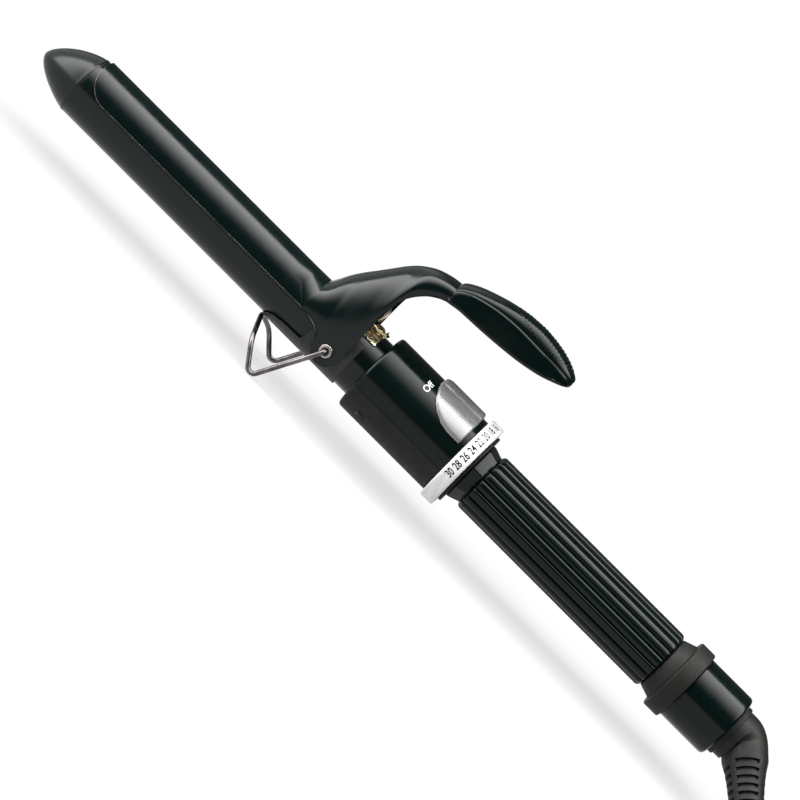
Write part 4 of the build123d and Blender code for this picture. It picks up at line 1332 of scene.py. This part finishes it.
VIEW_HEIGHT = math.radians(15.5)
VIEW_YAW = math.radians(2.6)
VIEW_DISTANCE = 1.35
VIEW_TARGET = at(186.7)
VIEW_WAY = Vector((
    math.sin(VIEW_YAW) * math.cos(VIEW_HEIGHT),
    -math.cos(VIEW_YAW) * math.cos(VIEW_HEIGHT),
    math.sin(VIEW_HEIGHT),
))
ALONG = (Vector((1, 0, 0)) - VIEW_WAY * VIEW_WAY.x).normalized()
ABOVE = VIEW_WAY.cross(ALONG)
RIGHT = (ALONG + ABOVE).normalized()
UP = (ABOVE - ALONG).normalized()


def camera():
    lens = bpy.data.cameras.new("camera")
    lens.lens = LENS_MM
    lens.sensor_width = 36.0
    lens.clip_end = 60.0
    eye = placed("camera", lens)
    turn = Matrix((RIGHT, UP, VIEW_WAY)).transposed().to_4x4()
    eye.matrix_world = Matrix.Translation(VIEW_TARGET + VIEW_WAY * VIEW_DISTANCE) @ turn
    bpy.context.scene.camera = eye


def studio():
    """An even dim room with one broad soft light above the camera, brightest at its far edge."""
    world = bpy.data.worlds.new("studio")
    bpy.context.scene.world = world
    world.use_nodes = True
    nodes, links = world.node_tree.nodes, world.node_tree.links
    background = nodes["Background"]
    place = nodes.new("ShaderNodeTexCoord")

    def value(operation, *inputs):
        node = nodes.new("ShaderNodeMath")
        node.operation = operation
        for socket, source in zip(node.inputs, inputs):
            if isinstance(source, (int, float)):
                socket.default_value = source
            else:
                links.new(source, socket)
        return node.outputs[0]

    def towards(way):
        node = nodes.new("ShaderNodeVectorMath")
        node.operation = "DOT_PRODUCT"
        links.new(place.outputs["Generated"], node.inputs[0])
        node.inputs[1].default_value = way
        return node.outputs["Value"]

    def between(source, low, high, to_low=0.0, to_high=1.0):
        node = nodes.new("ShaderNodeMapRange")
        node.interpolation_type = "SMOOTHSTEP"
        node.inputs["From Min"].default_value = low
        node.inputs["From Max"].default_value = high
        node.inputs["To Min"].default_value = to_low
        node.inputs["To Max"].default_value = to_high
        links.new(source, node.inputs["Value"])
        return node.outputs["Result"]

    angle = value("ARCCOSINE", towards(VIEW_WAY))
    azimuth = value("ARCTAN2", towards(RIGHT), towards(UP))
    gradient = between(angle, math.radians(24), math.radians(86))
    far_edge = between(angle, math.radians(87.5), math.radians(89.5), 1.0, 0.0)
    left_edge = between(azimuth, math.radians(-80), math.radians(-55))
    right_edge = between(azimuth, math.radians(80), math.radians(105), 1.0, 0.0)
    sides = value("MULTIPLY", left_edge, right_edge)
    soft_box = value("MULTIPLY", value("MULTIPLY", gradient, far_edge), sides)
    room = between(angle, math.radians(60), math.radians(110), ROOM_LIGHT, ROOM_LIGHT * 1.6)
    behind = value("MULTIPLY", between(angle, math.radians(92), math.radians(100)),
                   between(angle, math.radians(125), math.radians(150), 1.0, 0.0))
    upper_left = value("MULTIPLY", between(azimuth, math.radians(-110), math.radians(-80)),
                       between(azimuth, math.radians(15), math.radians(32), 1.0, 0.0))
    back_light = value("MULTIPLY", value("MULTIPLY", behind, upper_left), BACK_LIGHT)
    total = value("ADD", value("ADD", value("MULTIPLY", soft_box, SOFT_BOX_LIGHT), back_light), room)
    seen = nodes.new("ShaderNodeLightPath")
    strength = value("ADD", value("MULTIPLY", total, value("SUBTRACT", 1.0, seen.outputs["Is Camera Ray"])),
                     seen.outputs["Is Camera Ray"])
    background.inputs["Color"].default_value = (1.0, 0.995, 0.985, 1.0)
    links.new(strength, background.inputs["Strength"])


floor()
camera()
studio()
bpy.context.scene.view_settings.view_transform = "Standard"
